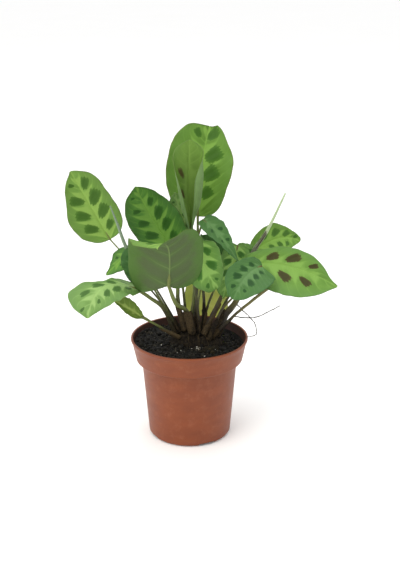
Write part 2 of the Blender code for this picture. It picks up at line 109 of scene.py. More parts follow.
def add(tree: NodeTree, kind: str, inputs: tuple | dict = (), out: str | None = None,
        **settings: object) -> NodeSocket:
    """Add a node with its settings and links.

    Args:
        tree: The node tree that it goes in.
        kind: The node's type, without its "ShaderNode" front.
        inputs: Sockets to link and values to set, in the node's order or by key. A hex colour turns linear.
        out: Which output to give back, if it isn't the usual one.
        **settings: The node's own settings. A Mix node mixes colours unless they say otherwise.

    Returns:
        The output socket.
    """
    node = tree.nodes.new("ShaderNode" + kind)
    if kind == "Mix":
        node.data_type = "RGBA"
    for name, value in settings.items():
        setattr(node, name, value)
    for key, value in inputs.items() if isinstance(inputs, dict) else enumerate(inputs):
        if isinstance(value, NodeSocket):
            tree.links.new(value, node.inputs[key])
        else:
            node.inputs[key].default_value = linear(value) if isinstance(value, str) else value
    return node.outputs[OUTPUTS.get(kind, 0) if out is None else out]


def new_piece(name: str, points: np.ndarray, faces: list, finishes: tuple[Finish, ...],
              stands_for: str = "", attributes: dict | None = None,
              face_finishes: np.ndarray | None = None) -> Object:
    """Make a mesh piece of the plant and tell the frame about it.

    Args:
        name: The piece's name.
        points: Its vertices in millimetres.
        faces: Vertex numbers of each face.
        finishes: Its finishes.
        stands_for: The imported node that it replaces, if it replaces one.
        attributes: Numbers to keep on the vertices, by name.
        face_finishes: Which finish each face has, where there are several.

    Returns:
        The piece.
    """
    mesh = bpy.data.meshes.new(name)
    mesh.from_pydata((np.asarray(points, float) * MM).tolist(), [], faces)
    for key, values in (attributes or {}).items():
        kept = mesh.attributes.new(key, "FLOAT", "POINT")
        kept.data.foreach_set("value", np.asarray(values, np.float32).ravel())
    for finish in finishes:
        mesh.materials.append(dressed(finish))
    if face_finishes is not None:
        mesh.polygons.foreach_set("material_index", face_finishes)
    mesh.shade_smooth()
    mesh.update()
    piece = bpy.data.objects.new(name, mesh)
    bpy.context.scene.collection.objects.link(piece)
    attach(piece, BODY)
    if stands_for:
        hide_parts(stands_for)
    LOG.info("%s: %d faces", name, len(faces))
    return piece


def unit(vectors: np.ndarray) -> np.ndarray:
    """Scale vectors to length 1.

    Args:
        vectors: The vectors, along the last axis.

    Returns:
        Their directions.
    """
    return vectors / np.maximum(np.linalg.norm(vectors, axis=-1, keepdims=True), 1e-9)


def smooth_step(low: float, high: float, value: np.ndarray) -> np.ndarray:
    """Rise smoothly from 0 to 1.

    Args:
        low: Where the rise starts.
        high: Where it ends.
        value: The numbers to look up.

    Returns:
        The height of the rise at each number.
    """
    share = np.clip((value - low) / (high - low), 0.0, 1.0)
    return share * share * (3.0 - 2.0 * share)


def closed_sheet(top: np.ndarray, bottom: np.ndarray) -> tuple[np.ndarray, list]:
    """Join two skins of one grid into a closed sheet.

    Args:
        top: The upper skin, rows by columns by 3.
        bottom: The lower skin, of the same shape.

    Returns:
        The vertices, upper skin first, and the faces: upper ones, lower ones, then the edge.
    """
    rows, columns = top.shape[:2]
    count = rows * columns
    number = np.arange(count).reshape(rows, columns)
    quads = np.stack([number[:-1, :-1], number[:-1, 1:], number[1:, 1:], number[1:, :-1]], -1).reshape(-1, 4)
    rim = np.concatenate([number[0, :-1], number[:-1, -1], number[-1, :0:-1], number[:0:-1, 0]])
    ahead = np.roll(rim, -1)
    edge = np.stack([rim + count, ahead + count, ahead, rim], -1)
    faces = np.concatenate([quads, quads[:, ::-1] + count, edge])
    return np.concatenate([top.reshape(-1, 3), bottom.reshape(-1, 3)]), faces.tolist()


def lathe(profile: np.ndarray, segments: int) -> tuple[np.ndarray, list]:
    """Turn a closed profile round Z into a solid.

    Args:
        profile: (radius, height) points, the first and last of them on the axis, outside going down.
        segments: Steps round the axis.

    Returns:
        The vertices and faces.
    """
    angles = np.arange(segments) * TAU / segments
    inner = profile[1:-1]
    rings = np.stack([inner[:, :1] * np.cos(angles), inner[:, :1] * np.sin(angles),
                      np.repeat(inner[:, 1:], segments, 1)], -1)
    points = [rings.reshape(-1, 3), [(0.0, 0.0, profile[0, 1])], [(0.0, 0.0, profile[-1, 1])]]
    first, last = len(inner) * segments, len(inner) * segments + 1
    faces = []
    for step in range(segments):
        after = (step + 1) % segments
        faces.append((first, step, after))
        for ring in range(len(inner) - 1):
            low = ring * segments
            faces.append((low + step, low + segments + step, low + segments + after, low + after))
        low = (len(inner) - 1) * segments
        faces.append((low + step, last, low + after))
    return np.concatenate(points), faces


def curve_through(anchors: np.ndarray, per_span: int) -> np.ndarray:
    """Lay a smooth curve through points (Catmull-Rom).

    Args:
        anchors: The points, each a row of any length.
        per_span: Steps between one and the next.

    Returns:
        The points along the curve.
    """
    anchors = np.asarray(anchors, float)
    ends = np.concatenate([[2 * anchors[0] - anchors[1]], anchors, [2 * anchors[-1] - anchors[-2]]])
    steps = (np.arange(per_span) / per_span)[:, None]
    route = []
    for span in range(len(anchors) - 1):
        before, start, end, after = ends[span:span + 4]
        route.append(0.5 * (2 * start + (end - before) * steps
                            + (2 * before - 5 * start + 4 * end - after) * steps ** 2
                            + (3 * start - before - 3 * end + after) * steps ** 3))
    return np.concatenate(route + [anchors[-1:]])


def path_frames(path: np.ndarray) -> tuple[np.ndarray, np.ndarray, np.ndarray]:
    """Carry a pair of cross directions along a path without twist.

    Args:
        path: The points of the path.

    Returns:
        The directions ahead, to the side and up at each point.
    """
    ahead = unit(np.gradient(path, axis=0))
    start = np.cross(ahead[0], (0.0, -1.0, 0.0))
    if np.linalg.norm(start) < 0.2:
        start = np.cross(ahead[0], (1.0, 0.0, 0.0))
    sides = [unit(start)]
    for direction in ahead[1:]:
        side = sides[-1] - direction * float(np.dot(sides[-1], direction))
        sides.append(unit(side))
    across = np.array(sides)
    return ahead, across, np.cross(ahead, across)


def tube(path: np.ndarray, radii: np.ndarray, around: int) -> tuple[np.ndarray, list, dict]:
    """Make a closed tube along a path.

    Args:
        path: The middle line.
        radii: The radius at each point, or at each point and step round.
        around: Steps round the tube.

    Returns:
        The vertices, the faces, and the numbers "along" and "around" of each vertex, 0 to 1.
    """
    ahead, across, over = path_frames(path)
    angles = np.arange(around) * TAU / around
    radii = np.asarray(radii, float)
    if radii.ndim == 1:
        radii = np.repeat(radii[:, None], around, 1)
    rings = path[:, None] + radii[..., None] * (across[:, None] * np.cos(angles)[:, None]
                                                + over[:, None] * np.sin(angles)[:, None])
    count = len(path)
    tips = [path[0] - ahead[0] * radii[0].mean() * 0.5, path[-1] + ahead[-1] * radii[-1].mean() * 0.5]
    number = np.arange(count * around).reshape(count, around)
    after = np.roll(number, -1, 1)
    quads = np.stack([number[:-1], after[:-1], after[1:], number[1:]], -1).reshape(-1, 4).tolist()
    foot, top = count * around, count * around + 1
    quads += [(foot, b, a) for a, b in zip(number[0], after[0])]
    quads += [(top, a, b) for a, b in zip(number[-1], after[-1])]
    faces = [tuple(int(v) for v in face) for face in quads]
    along = np.repeat(np.linspace(0.0, 1.0, count), around)
    turn = np.tile(np.arange(around) / around, count)
    numbers = {"along": np.append(along, (0.0, 1.0)), "around": np.append(turn, (0.5, 0.5))}
    return np.concatenate([rings.reshape(-1, 3), tips]), faces, numbers


@dataclass
class Heap:
    """Many small closed shapes gathered into one mesh."""

    points: list = field(default_factory=list)
    faces: list = field(default_factory=list)
    tones: list = field(default_factory=list)
    count: int = 0

    def take(self, points: np.ndarray, faces: list, tone: float) -> None:
        """Add one shape.

        Args:
            points: Its vertices.
            faces: Its faces.
            tone: A number from 0 to 1 that its material may read as "tone".
        """
        self.points.append(points)
        self.faces += [tuple(v + self.count for v in face) for face in faces]
        self.tones.append(np.full(len(points), tone))
        self.count += len(points)

    def piece(self, name: str, finish: Finish, slot: Slot) -> None:
        """Make one piece of all the shapes taken.

        Args:
            name: Name of the piece.
            finish: What it looks like.
            slot: Its slot; not used.
        """
        new_piece(name, np.concatenate(self.points), self.faces, (finish,),
                  attributes={"tone": np.concatenate(self.tones)})


def lump_shape(detail: int) -> tuple[np.ndarray, list]:
    """Give the vertices and faces of a ball that lumps are made from.

    Args:
        detail: How often its faces are divided.

    Returns:
        The vertices at radius 1, and the faces.
    """
    shape = bmesh.new()
    bmesh.ops.create_icosphere(shape, subdivisions=detail, radius=1.0)
    points = np.array([tuple(vertex.co) for vertex in shape.verts])
    faces = [tuple(vertex.index for vertex in face.verts) for face in shape.faces]
    shape.free()
    return points, faces


def spin(draw: RandomState) -> np.ndarray:
    """Draw a rotation.

    Args:
        draw: The source of random numbers.

    Returns:
        Its 3 by 3 matrix.
    """
    turned, _ = np.linalg.qr(draw.normal(size=(3, 3)))
    return turned * np.sign(np.linalg.det(turned))


# ---- Finishes ----

SMOOTH = {"interpolation_type": "SMOOTHSTEP"}


@dataclass(frozen=True)
class Finish:
    """A surface that one material shows. Each kind of finish lays out its own nodes."""

    name: str

    def shader(self, tree: NodeTree) -> NodeSocket:
        """Lay out the nodes.

        Args:
            tree: The material's node tree.

        Returns:
            The shader.
        """
        raise NotImplementedError

    def make(self) -> Material:
        """Build the material.

        Returns:
            The material.
        """
        material = bpy.data.materials.new(self.name)
        material.use_nodes = True
        tree = material.node_tree
        tree.nodes.clear()
        surface = tree.nodes.new("ShaderNodeOutputMaterial").inputs["Surface"]
        tree.links.new(self.shader(tree), surface)
        return material


@dataclass(frozen=True)
class LeafTissue(Finish):
    """Living leaf tissue: what the upper and the under face of a blade share."""

    def veins(self, tree: NodeTree) -> tuple[NodeSocket, ...]:
        """Read the blade's own numbers and lay out the waves that follow its lateral veins.

        Args:
            tree: The node tree.

        Returns:
            The share of the way to the edge, the laterals' angle, their crests from 0 to 1, and the wave
            of the fine veins between them, real spacing about 0.5 mm and drawn at 1 mm.
        """
        across, vein = (add(tree, "Attribute", attribute_name=key) for key in ("across", "vein"))
        reach = add(tree, "Math", (across,), operation="ABSOLUTE")
        turn = add(tree, "Math", (vein, TAU), operation="MULTIPLY")
        wave = add(tree, "Math", (turn,), operation="COSINE")
        ridge = add(tree, "MapRange", (wave, -1.0, 1.0))
        fine_turn = add(tree, "Math", (turn, 16.0), operation="MULTIPLY")
        return reach, turn, ridge, add(tree, "Math", (fine_turn,), operation="SINE")

    def tissue(self, tree: NodeTree, colour: NodeSocket, bump: NodeSocket,
               rough: NodeSocket, ior: float, through: float) -> NodeSocket:
        """Join the skin and the light that comes through it.

        Args:
            tree: The node tree.
            colour: The tissue's colour.
            bump: Its relief.
            rough: Its roughness.
            ior: Its index of refraction.
            through: The share of light that comes through.

        Returns:
            The shader.
        """
        skin = add(tree, "BsdfPrincipled", {"Base Color": colour, "Roughness": rough, "Normal": bump,
                                            "IOR": ior, "Specular IOR Level": 0.25})
        behind = add(tree, "BsdfTranslucent", {"Color": colour, "Normal": bump})
        return add(tree, "MixShader", (through, skin, behind))


@dataclass(frozen=True)
class BladeFace(LeafTissue):
    """Upper face of a living blade: thin satin leaf tissue with a quilted vein net and dark blotches.

    The eye sees a fresh green that pales to a feathered herringbone along the midrib, chocolate to deep
    green blotches between the lateral veins, a duller margin, and a hair-thin brown outline. Light comes
    through a little, so part of the shader is translucent.
    """

    lamina: str
    shade: str
    feather: str
    rim: str
    spot: str
    spot_edge: str
    outline: str = "#56552f"
    feather_reach: float = 0.52
    roughness: float = 0.46
    shine_through: float = 0.16

    def shader(self, tree: NodeTree) -> NodeSocket:
        """Lay out the nodes.

        Args:
            tree: The material's node tree.

        Returns:
            The shader.
        """
        along, spot, midrib = (add(tree, "Attribute", attribute_name=key)
                               for key in ("along", "spot", "midrib"))
        reach, turn, ridge, fine = self.veins(tree)
        place = add(tree, "TexCoord")
        # Broad mottling in patches about 12 mm wide, and a duller zone towards the margin.
        mottle = add(tree, "TexNoise", {"Vector": place, "Scale": 85.0, "Detail": 3.0})
        patch = add(tree, "MapRange", (mottle, 0.35, 0.65))
        toward = add(tree, "MapRange", (reach, 0.45, 0.98), **SMOOTH)
        # Pale feathering that runs out along the lateral veins and shortens to the tip.
        frayed = add(tree, "TexNoise", {"Vector": place, "Scale": 420.0, "Detail": 2.0})
        arm = add(tree, "Math", (ridge, 2.6), operation="POWER")
        edge = add(tree, "Math", (arm, self.feather_reach, 0.02), operation="MULTIPLY_ADD")
        edge = add(tree, "Math", (frayed, 0.18, edge), operation="MULTIPLY_ADD")
        shorter = add(tree, "MapRange", (along, 0.62, 1.0, 0.0, 0.4))
        edge = add(tree, "Math", (edge, shorter), operation="SUBTRACT")
        gap = add(tree, "Math", (reach, edge), operation="SUBTRACT")
        plume = add(tree, "MapRange", (gap, -0.06, 0.2, 0.85, 0.0), **SMOOTH)
        # Thin pale laterals, two to a blotch, drawn about twice as wide as the real 0.3 mm.
        double = add(tree, "Math", (turn, 2.0), operation="MULTIPLY")
        double = add(tree, "Math", (double,), operation="COSINE")
        double = add(tree, "MapRange", (double, -1.0, 1.0))
        crest = add(tree, "Math", (double, 26.0), operation="POWER")
        fade = add(tree, "MapRange", (reach, 0.2, 0.95, 0.55, 0.1))
        lateral = add(tree, "Math", (crest, fade), operation="MULTIPLY")
        fine_tone = add(tree, "MapRange", (fine, -1.0, 1.0, 0.0, 0.13))
        # Blotches, with an edge that follows the cells.
        rough_edge = add(tree, "Math", (frayed, 0.3, -0.15), operation="MULTIPLY_ADD")
        rough_edge = add(tree, "Math", (fine, 0.05, rough_edge), operation="MULTIPLY_ADD")
        depth = add(tree, "Math", (spot, rough_edge), operation="ADD")
        inside = add(tree, "MapRange", (depth, -0.08, 0.06, 0.0, 0.92), **SMOOTH)
        middle = add(tree, "MapRange", (depth, 0.05, 0.5), **SMOOTH)
        blotch = add(tree, "Mix", {0: middle, 6: self.spot_edge, 7: self.spot})
        # Midrib, and the outline that the margin dries to.
        rib = add(tree, "MapRange", (midrib, 0.4, 1.2, 0.6, 0.0), **SMOOTH)
        rim = add(tree, "MapRange", (reach, 0.965, 0.995, 0.0, 0.55), **SMOOTH)
        colour = self.lamina
        for share, tone in ((patch, self.shade), (toward, self.rim), (plume, self.feather),
                            (lateral, self.feather), (fine_tone, self.shade), (inside, blotch),
                            (rib, self.feather), (rim, self.outline)):
            colour = add(tree, "Mix", {0: share, 6: colour, 7: tone})
        # Leaf cells, about 0.7 mm, under the fine veins.
        cells = add(tree, "TexVoronoi", {"Vector": place, "Scale": 1500.0})
        relief = add(tree, "Math", (fine, 0.35, cells), operation="MULTIPLY_ADD")
        bump = add(tree, "Bump", {"Height": relief, "Strength": 0.22, "Distance": 0.0002})
        rough = add(tree, "MapRange", (frayed, 0.3, 0.7, self.roughness - 0.06, self.roughness + 0.08))
        return self.tissue(tree, colour, bump, rough, 1.42, self.shine_through)


@dataclass(frozen=True)
class BladeBack(LeafTissue):
    """Under face of a blade: matt, greyer tissue with raised pale veins and the blotches showing through."""

    lamina: str
    clouded: str
    rim: str
    vein: str

    def shader(self, tree: NodeTree) -> NodeSocket:
        """Lay out the nodes.

        Args:
            tree: The material's node tree.

        Returns:
            The shader.
        """
        midrib, spot = (add(tree, "Attribute", attribute_name=key) for key in ("midrib", "spot"))
        reach, _, ridge, fine = self.veins(tree)
        place = add(tree, "TexCoord")
        mottle = add(tree, "TexNoise", {"Vector": place, "Scale": 110.0, "Detail": 4.0})
        frayed = add(tree, "TexNoise", {"Vector": place, "Scale": 500.0, "Detail": 2.0})
        toward = add(tree, "MapRange", (reach, 0.6, 0.98), **SMOOTH)
        # Clouding between the laterals, and the blotches that show through.
        cloud_edge = add(tree, "Math", (mottle, 0.5, reach), operation="MULTIPLY_ADD")
        band = add(tree, "MapRange", (cloud_edge, 0.8, 1.14, 1.0, 0.0), **SMOOTH)
        between = add(tree, "MapRange", (ridge, 0.3, 1.0, 1.0, 0.5))
        cloud = add(tree, "Math", (band, between), operation="MULTIPLY")
        shown = add(tree, "MapRange", (spot, -0.2, 0.3, 0.0, 0.45), **SMOOTH)
        # Raised laterals, drawn about 1 mm wide, and the midrib.
        crest = add(tree, "Math", (ridge, 110.0), operation="POWER")
        fade = add(tree, "MapRange", (reach, 0.15, 0.6, 0.5, 0.0))
        lateral = add(tree, "Math", (crest, fade), operation="MULTIPLY")
        rib = add(tree, "MapRange", (midrib, 0.2, 0.8, 0.65, 0.0), **SMOOTH)
        colour = self.lamina
        for share, tone in ((mottle, self.rim), (toward, self.rim), (cloud, self.clouded),
                            (shown, self.clouded), (lateral, self.vein), (rib, self.vein)):
            colour = add(tree, "Mix", {0: share, 6: colour, 7: tone})
        relief = add(tree, "Math", (fine, 0.5, frayed), operation="MULTIPLY_ADD")
        bump = add(tree, "Bump", {"Height": relief, "Strength": 0.3, "Distance": 0.0003})
        rough = add(tree, "MapRange", (frayed, 0.3, 0.7, 0.55, 0.7))
        return self.tissue(tree, colour, bump, rough, 1.4, 0.14)


@dataclass(frozen=True)
class StalkSkin(Finish):
    """Skin of a petiole, rolled leaf or root: fine lengthwise streaks, older and browner at the foot."""

    foot: str
    top: str
    streak: str
    roughness: float = 0.5
    turn_from: float = 0.1
    turn_to: float = 0.7

    def shader(self, tree: NodeTree) -> NodeSocket:
        """Lay out the nodes.

        Args:
            tree: The material's node tree.

        Returns:
            The shader.
        """
        along, around = (add(tree, "Attribute", attribute_name=key) for key in ("along", "around"))
        place = add(tree, "TexCoord")
        mottle = add(tree, "TexNoise", {"Vector": place, "Scale": 190.0, "Detail": 3.0})
        shifted = add(tree, "Math", (mottle, 0.4, along), operation="MULTIPLY_ADD")
        height = add(tree, "MapRange", (shifted, self.turn_from + 0.2, self.turn_to + 0.2), **SMOOTH)
        # Fibres run the length of the stalk, so the pattern is stretched about twenty times along it.
        line = add(tree, "Math", (along, 1.1), operation="MULTIPLY")
        turn = add(tree, "Math", (around, TAU), operation="MULTIPLY")
        east, north = (add(tree, "Math", (turn,), operation=name) for name in ("COSINE", "SINE"))
        grain_place = add(tree, "CombineXYZ", (east, north, line))
        grain = add(tree, "TexNoise", {"Vector": grain_place, "Scale": 4.5, "Detail": 4.0})
        streak = add(tree, "MapRange", (grain, 0.45, 0.7, 0.0, 0.8))
        colour = self.foot
        for share, tone in ((height, self.top), (streak, self.streak)):
            colour = add(tree, "Mix", {0: share, 6: colour, 7: tone})
        bump = add(tree, "Bump", {"Height": grain, "Strength": 0.5, "Distance": 0.0004})
        rough = add(tree, "MapRange", (mottle, 0.3, 0.7, self.roughness - 0.08, self.roughness + 0.1))
        return add(tree, "BsdfPrincipled", {"Base Color": colour, "Roughness": rough, "Normal": bump,
                                            "IOR": 1.42})


@dataclass(frozen=True)
class MouldedPlastic(Finish):
    """Injection-moulded polypropylene with terracotta pigment: satin, a faint flow mottle, light scuffs.

    Dust and dried water pale it in soft patches, and fine grit sits on it in specks.
    """

    body: str
    flow: str
    dust: str
    grit: str
    roughness: float = 0.42
    dust_share: float = 0.35

    def shader(self, tree: NodeTree) -> NodeSocket:
        """Lay out the nodes.

        Args:
            tree: The material's node tree.

        Returns:
            The shader.
        """
        place = add(tree, "TexCoord")
        # Flow marks run round the wall, so they're stretched sideways.
        stretched = add(tree, "Mapping", {"Vector": place, "Scale": (1.0, 1.0, 2.6)})
        flow = add(tree, "TexNoise", {"Vector": stretched, "Scale": 38.0, "Detail": 5.0})
        tone = add(tree, "MapRange", (flow, 0.35, 0.68))
        film = add(tree, "TexNoise", {"Vector": place, "Scale": 120.0, "Detail": 8.0, "Roughness": 0.7})
        dusty = add(tree, "MapRange", (film, 0.5, 0.75, 0.0, self.dust_share))
        # Grit specks, about 1 mm across and 7 mm apart.
        speck = add(tree, "TexVoronoi", {"Vector": place, "Scale": 150.0})
        speckled = add(tree, "MapRange", (speck, 0.05, 0.09, 0.75, 0.0))
        some = add(tree, "TexNoise", {"Vector": place, "Scale": 60.0})
        sparse = add(tree, "MapRange", (some, 0.5, 0.62))
        speckled = add(tree, "Math", (speckled, sparse), operation="MULTIPLY")
        colour = self.body
        for share, layer in ((tone, self.flow), (dusty, self.dust), (speckled, self.grit)):
            colour = add(tree, "Mix", {0: share, 6: colour, 7: layer})
        rough = add(tree, "MapRange", (film, 0.3, 0.75, self.roughness - 0.06, self.roughness + 0.16))
        # Spark-eroded mould texture, about 0.7 mm.
        skin = add(tree, "TexNoise", {"Vector": place, "Scale": 1400.0, "Detail": 2.0})
        relief = add(tree, "Math", (flow, 2.0, skin), operation="MULTIPLY_ADD")
        bump = add(tree, "Bump", {"Height": relief, "Strength": 0.18, "Distance": 0.0003})
        return add(tree, "BsdfPrincipled", {"Base Color": colour, "Roughness": rough, "Normal": bump,
                                            "IOR": 1.49, "Specular IOR Level": 0.4})


@dataclass(frozen=True)
class Grainy(Finish):
    """Crumbly or fibrous matter: peat, bark, moss, perlite. Dull and uneven, each grain with its own tone."""

    dark: str
    middle: str
    light: str
    grain: float
    roughness: float = 0.9
    wetness: float = 0.0

    def shader(self, tree: NodeTree) -> NodeSocket:
        """Lay out the nodes.

        Args:
            tree: The material's node tree.

        Returns:
            The shader.
        """
        place = add(tree, "TexCoord")
        tone = add(tree, "Attribute", attribute_name="tone")
        scale = 1.0 / (self.grain * MM)
        coarse = add(tree, "TexNoise", {"Vector": place, "Scale": scale * 0.3, "Detail": 5.0,
                                        "Roughness": 0.65})
        fine = add(tree, "TexNoise", {"Vector": place, "Scale": scale, "Detail": 4.0})
        spread = add(tree, "MapRange", (coarse, 0.35, 0.65))
        own = add(tree, "Math", (tone, 0.6, fine), operation="MULTIPLY_ADD")
        lit = add(tree, "MapRange", (own, 0.62, 1.05))
        colour = self.dark
        for share, layer in ((spread, self.middle), (lit, self.light)):
            colour = add(tree, "Mix", {0: share, 6: colour, 7: layer})
        rough = add(tree, "MapRange", (coarse, 0.35, 0.65, self.roughness - self.wetness, self.roughness))
        relief = add(tree, "Math", (coarse, 1.5, fine), operation="MULTIPLY_ADD")
        bump = add(tree, "Bump", {"Height": relief, "Strength": 0.6, "Distance": 0.001})
        return add(tree, "BsdfPrincipled", {"Base Color": colour, "Roughness": rough, "Normal": bump,
                                            "IOR": 1.4, "Specular IOR Level": 0.3})


@dataclass(frozen=True)
class MattFloor(Finish):
    """Matt white board for a floor, with hardly any tone of its own."""

    def shader(self, tree: NodeTree) -> NodeSocket:
        """Lay out the nodes.

        Args:
            tree: The material's node tree.

        Returns:
            The shader.
        """
        grain = add(tree, "TexNoise", {"Vector": add(tree, "TexCoord"), "Scale": 3.0})
        colour = add(tree, "Mix", {0: grain, 6: "#fbfbfa", 7: "#fdfdfd"})
        return add(tree, "BsdfPrincipled", {"Base Color": colour, "Roughness": 0.9})


DRESSED: dict[str, Material] = {}


def dressed(finish: Finish) -> Material:
    """Give a finish's material, and make it the first time.

    Args:
        finish: The finish.

    Returns:
        Its material.
    """
    if finish.name not in DRESSED:
        DRESSED[finish.name] = finish.make()
    return DRESSED[finish.name]


FRESH = BladeFace("fresh_blade", "#779f47", "#6c943e", "#92b656", "#688c3f", "#3a611a", "#486f24")
BROAD = BladeFace("broad_blade", "#6c963b", "#5f8731", "#80aa48", "#648c39", "#396219", "#446f20",
                  outline="#6f5f3c")
COOL = BladeFace("cool_blade", "#5b8a38", "#4c7c30", "#7aa647", "#446f31", "#2d571b", "#386522")
BRIGHT = BladeFace("bright_blade", "#6d9746", "#618b3d", "#8fb75f", "#5f8742", "#33601f", "#41702c",
                   outline="#7a9a55")
BLUE = BladeFace("blue_green_blade", "#507b3e", "#477038", "#668e54", "#4b743e", "#234a1e", "#2e5828",
                 outline="#4a734a", feather_reach=0.25, roughness=0.42)
# Painted light: a lighter, lit copy of the blade colours, given to the tucked and low-left leaves to stand in
# for light falling on them.
PAINTED_LIT = BladeFace("painted_lit_blade", "#7aa056", "#6e944b", "#9abd70", "#698f4d", "#3d6327", "#497132",
                 outline="#8fa262", feather_reach=0.42)
SHADED = BladeFace("shaded_blade", "#557f47", "#4a743f", "#5e894f", "#4b7540", "#3f6a36", "#466f3b")
RUSTY = BladeFace("rusty_spotted_blade", "#6d963f", "#618a38", "#82ab4e", "#638c42", "#382c12", "#44381a",
                  outline="#60754a", feather_reach=0.3)
ROLLED = BladeFace("rolled_blade", "#7ba145", "#70953e", "#88ad50", "#749a48", "#4e411f", "#606f33",
                   outline="#7c8656", feather_reach=0.1, shine_through=0.3)
OLIVE = BladeFace("olive_blade", "#76903a", "#65802f", "#a3b85e", "#637d30", "#446320", "#4f7226",
                  outline="#7d6b35", feather_reach=0.2)
# Yellowed old leaf: real yellowing, painted much paler than its own yellow-green as a painted glow standing
# in for light coming through from behind.
YELLOWED_PAINTED_GLOW = BladeFace("yellowed_painted_glow_blade", "#eef0a4", "#e4e894", "#f2f4b0", "#e2e89a", "#dce088", "#e0e690",
                     outline="#8a7a48", feather_reach=0.1, roughness=0.55, shine_through=0.72)
UNDER_GREY = BladeBack("grey_green_blade_back", "#56713a", "#566641", "#557539", "#7b9056")
UNDER_SILVER = BladeBack("silvery_blade_back", "#6c8a50", "#647f4a", "#718f57", "#8aa56c")
UNDER_PALE = BladeBack("pale_blade_back", "#86a070", "#75906a", "#86a873", "#a3b98a")
UNDER_YELLOW = BladeBack("yellowed_blade_back", "#c3cc80", "#b3bd70", "#cad38a", "#d2d99c")

PETIOLE = StalkSkin("petiole_skin", "#282114", "#6a7638", "#423e21")
PETIOLE_BROWN = StalkSkin("brown_petiole_skin", "#1e170f", "#6e6a38", "#3a2e1e", roughness=0.58)
SPEAR_GREY = StalkSkin("grey_spear_skin", "#6f8460", "#75876f", "#8fa28a", turn_from=0.0, turn_to=0.4)
SPEAR_PALE = StalkSkin("pale_spear_skin", "#33281c", "#a9bb90", "#93a57e", turn_from=0.6, turn_to=0.66)
ROOT_SKIN = StalkSkin("root_skin", "#2b251d", "#3f382d", "#221d17", roughness=0.8)
TERRACOTTA = MouldedPlastic("terracotta_polypropylene", "#803e1b", "#753617", "#a87458", "#4a2a1c",
                            dust_share=0.22)
# Inside of the pot: partly real peat stain, partly painted shade, with the whole inner wall darkened for the
# shade that falls inside it.
STAINED_AND_SHADED = MouldedPlastic("stained_and_shaded_polypropylene", "#3f2015", "#331a11", "#2c1c13", "#150e09",
                         roughness=0.5, dust_share=0.6)
WET_PEAT = Grainy("wet_peat", "#050504", "#0b0b09", "#191712", 1.6, roughness=0.85, wetness=0.35)
PEAT_CRUMB = Grainy("peat_crumb", "#050505", "#0d0c0a", "#221f18", 0.8, roughness=0.8, wetness=0.35)
PERLITE = Grainy("perlite", "#8f8b80", "#c4c0b4", "#efece2", 0.5, roughness=0.85)
MOSSY = Grainy("mossy_peat", "#120f09", "#211c10", "#4a412a", 0.9, roughness=0.9)
FIBRE = Grainy("dry_fibre", "#1f1911", "#3a3122", "#a39b86", 0.7, roughness=0.75)
OLD_SHEATH = Grainy("old_sheath", "#0f0b07", "#211a10", "#4c3f29", 1.6, roughness=0.8)


# ---- Blades ----

BLADE_END = 0.8
OVAL_END = 0.965
WIDEST = 0.48
FULLNESS = 2.4
TIP_POINT = 2.0
SECTION_STEPS = 12
VEIN_SPACING = 14.0
SPOT_SQUARENESS = 3.2
BLADE_ROWS = 84
BLADE_COLUMNS = 65
BLADE_THICKNESS = 0.34


def on_half(across: np.ndarray, side: Side) -> np.ndarray:
    """Pick the columns of one half.

    Args:
        across: Columns, -1 at the left edge to 1 at the right.
        side: The half.

    Returns:
        Whether each column lies on it; the midrib goes with the right half.
    """
    return across < 0.0 if side is Side.LEFT else across >= 0.0


@dataclass(frozen=True)
class SpotRow:
    """Row of blotches on one half of a blade.

    lengths are half-lengths in millimetres, from the base on; first and step say where along the blade
    they come, out how far towards the edge, lean their angle from the midrib, and breadth their width as
    a share of their length.
    """

    side: Side
    first: float
    step: float
    lengths: tuple[float, ...]
    out: float = 0.38
    lean: float = 50.0
    breadth: float = 0.66


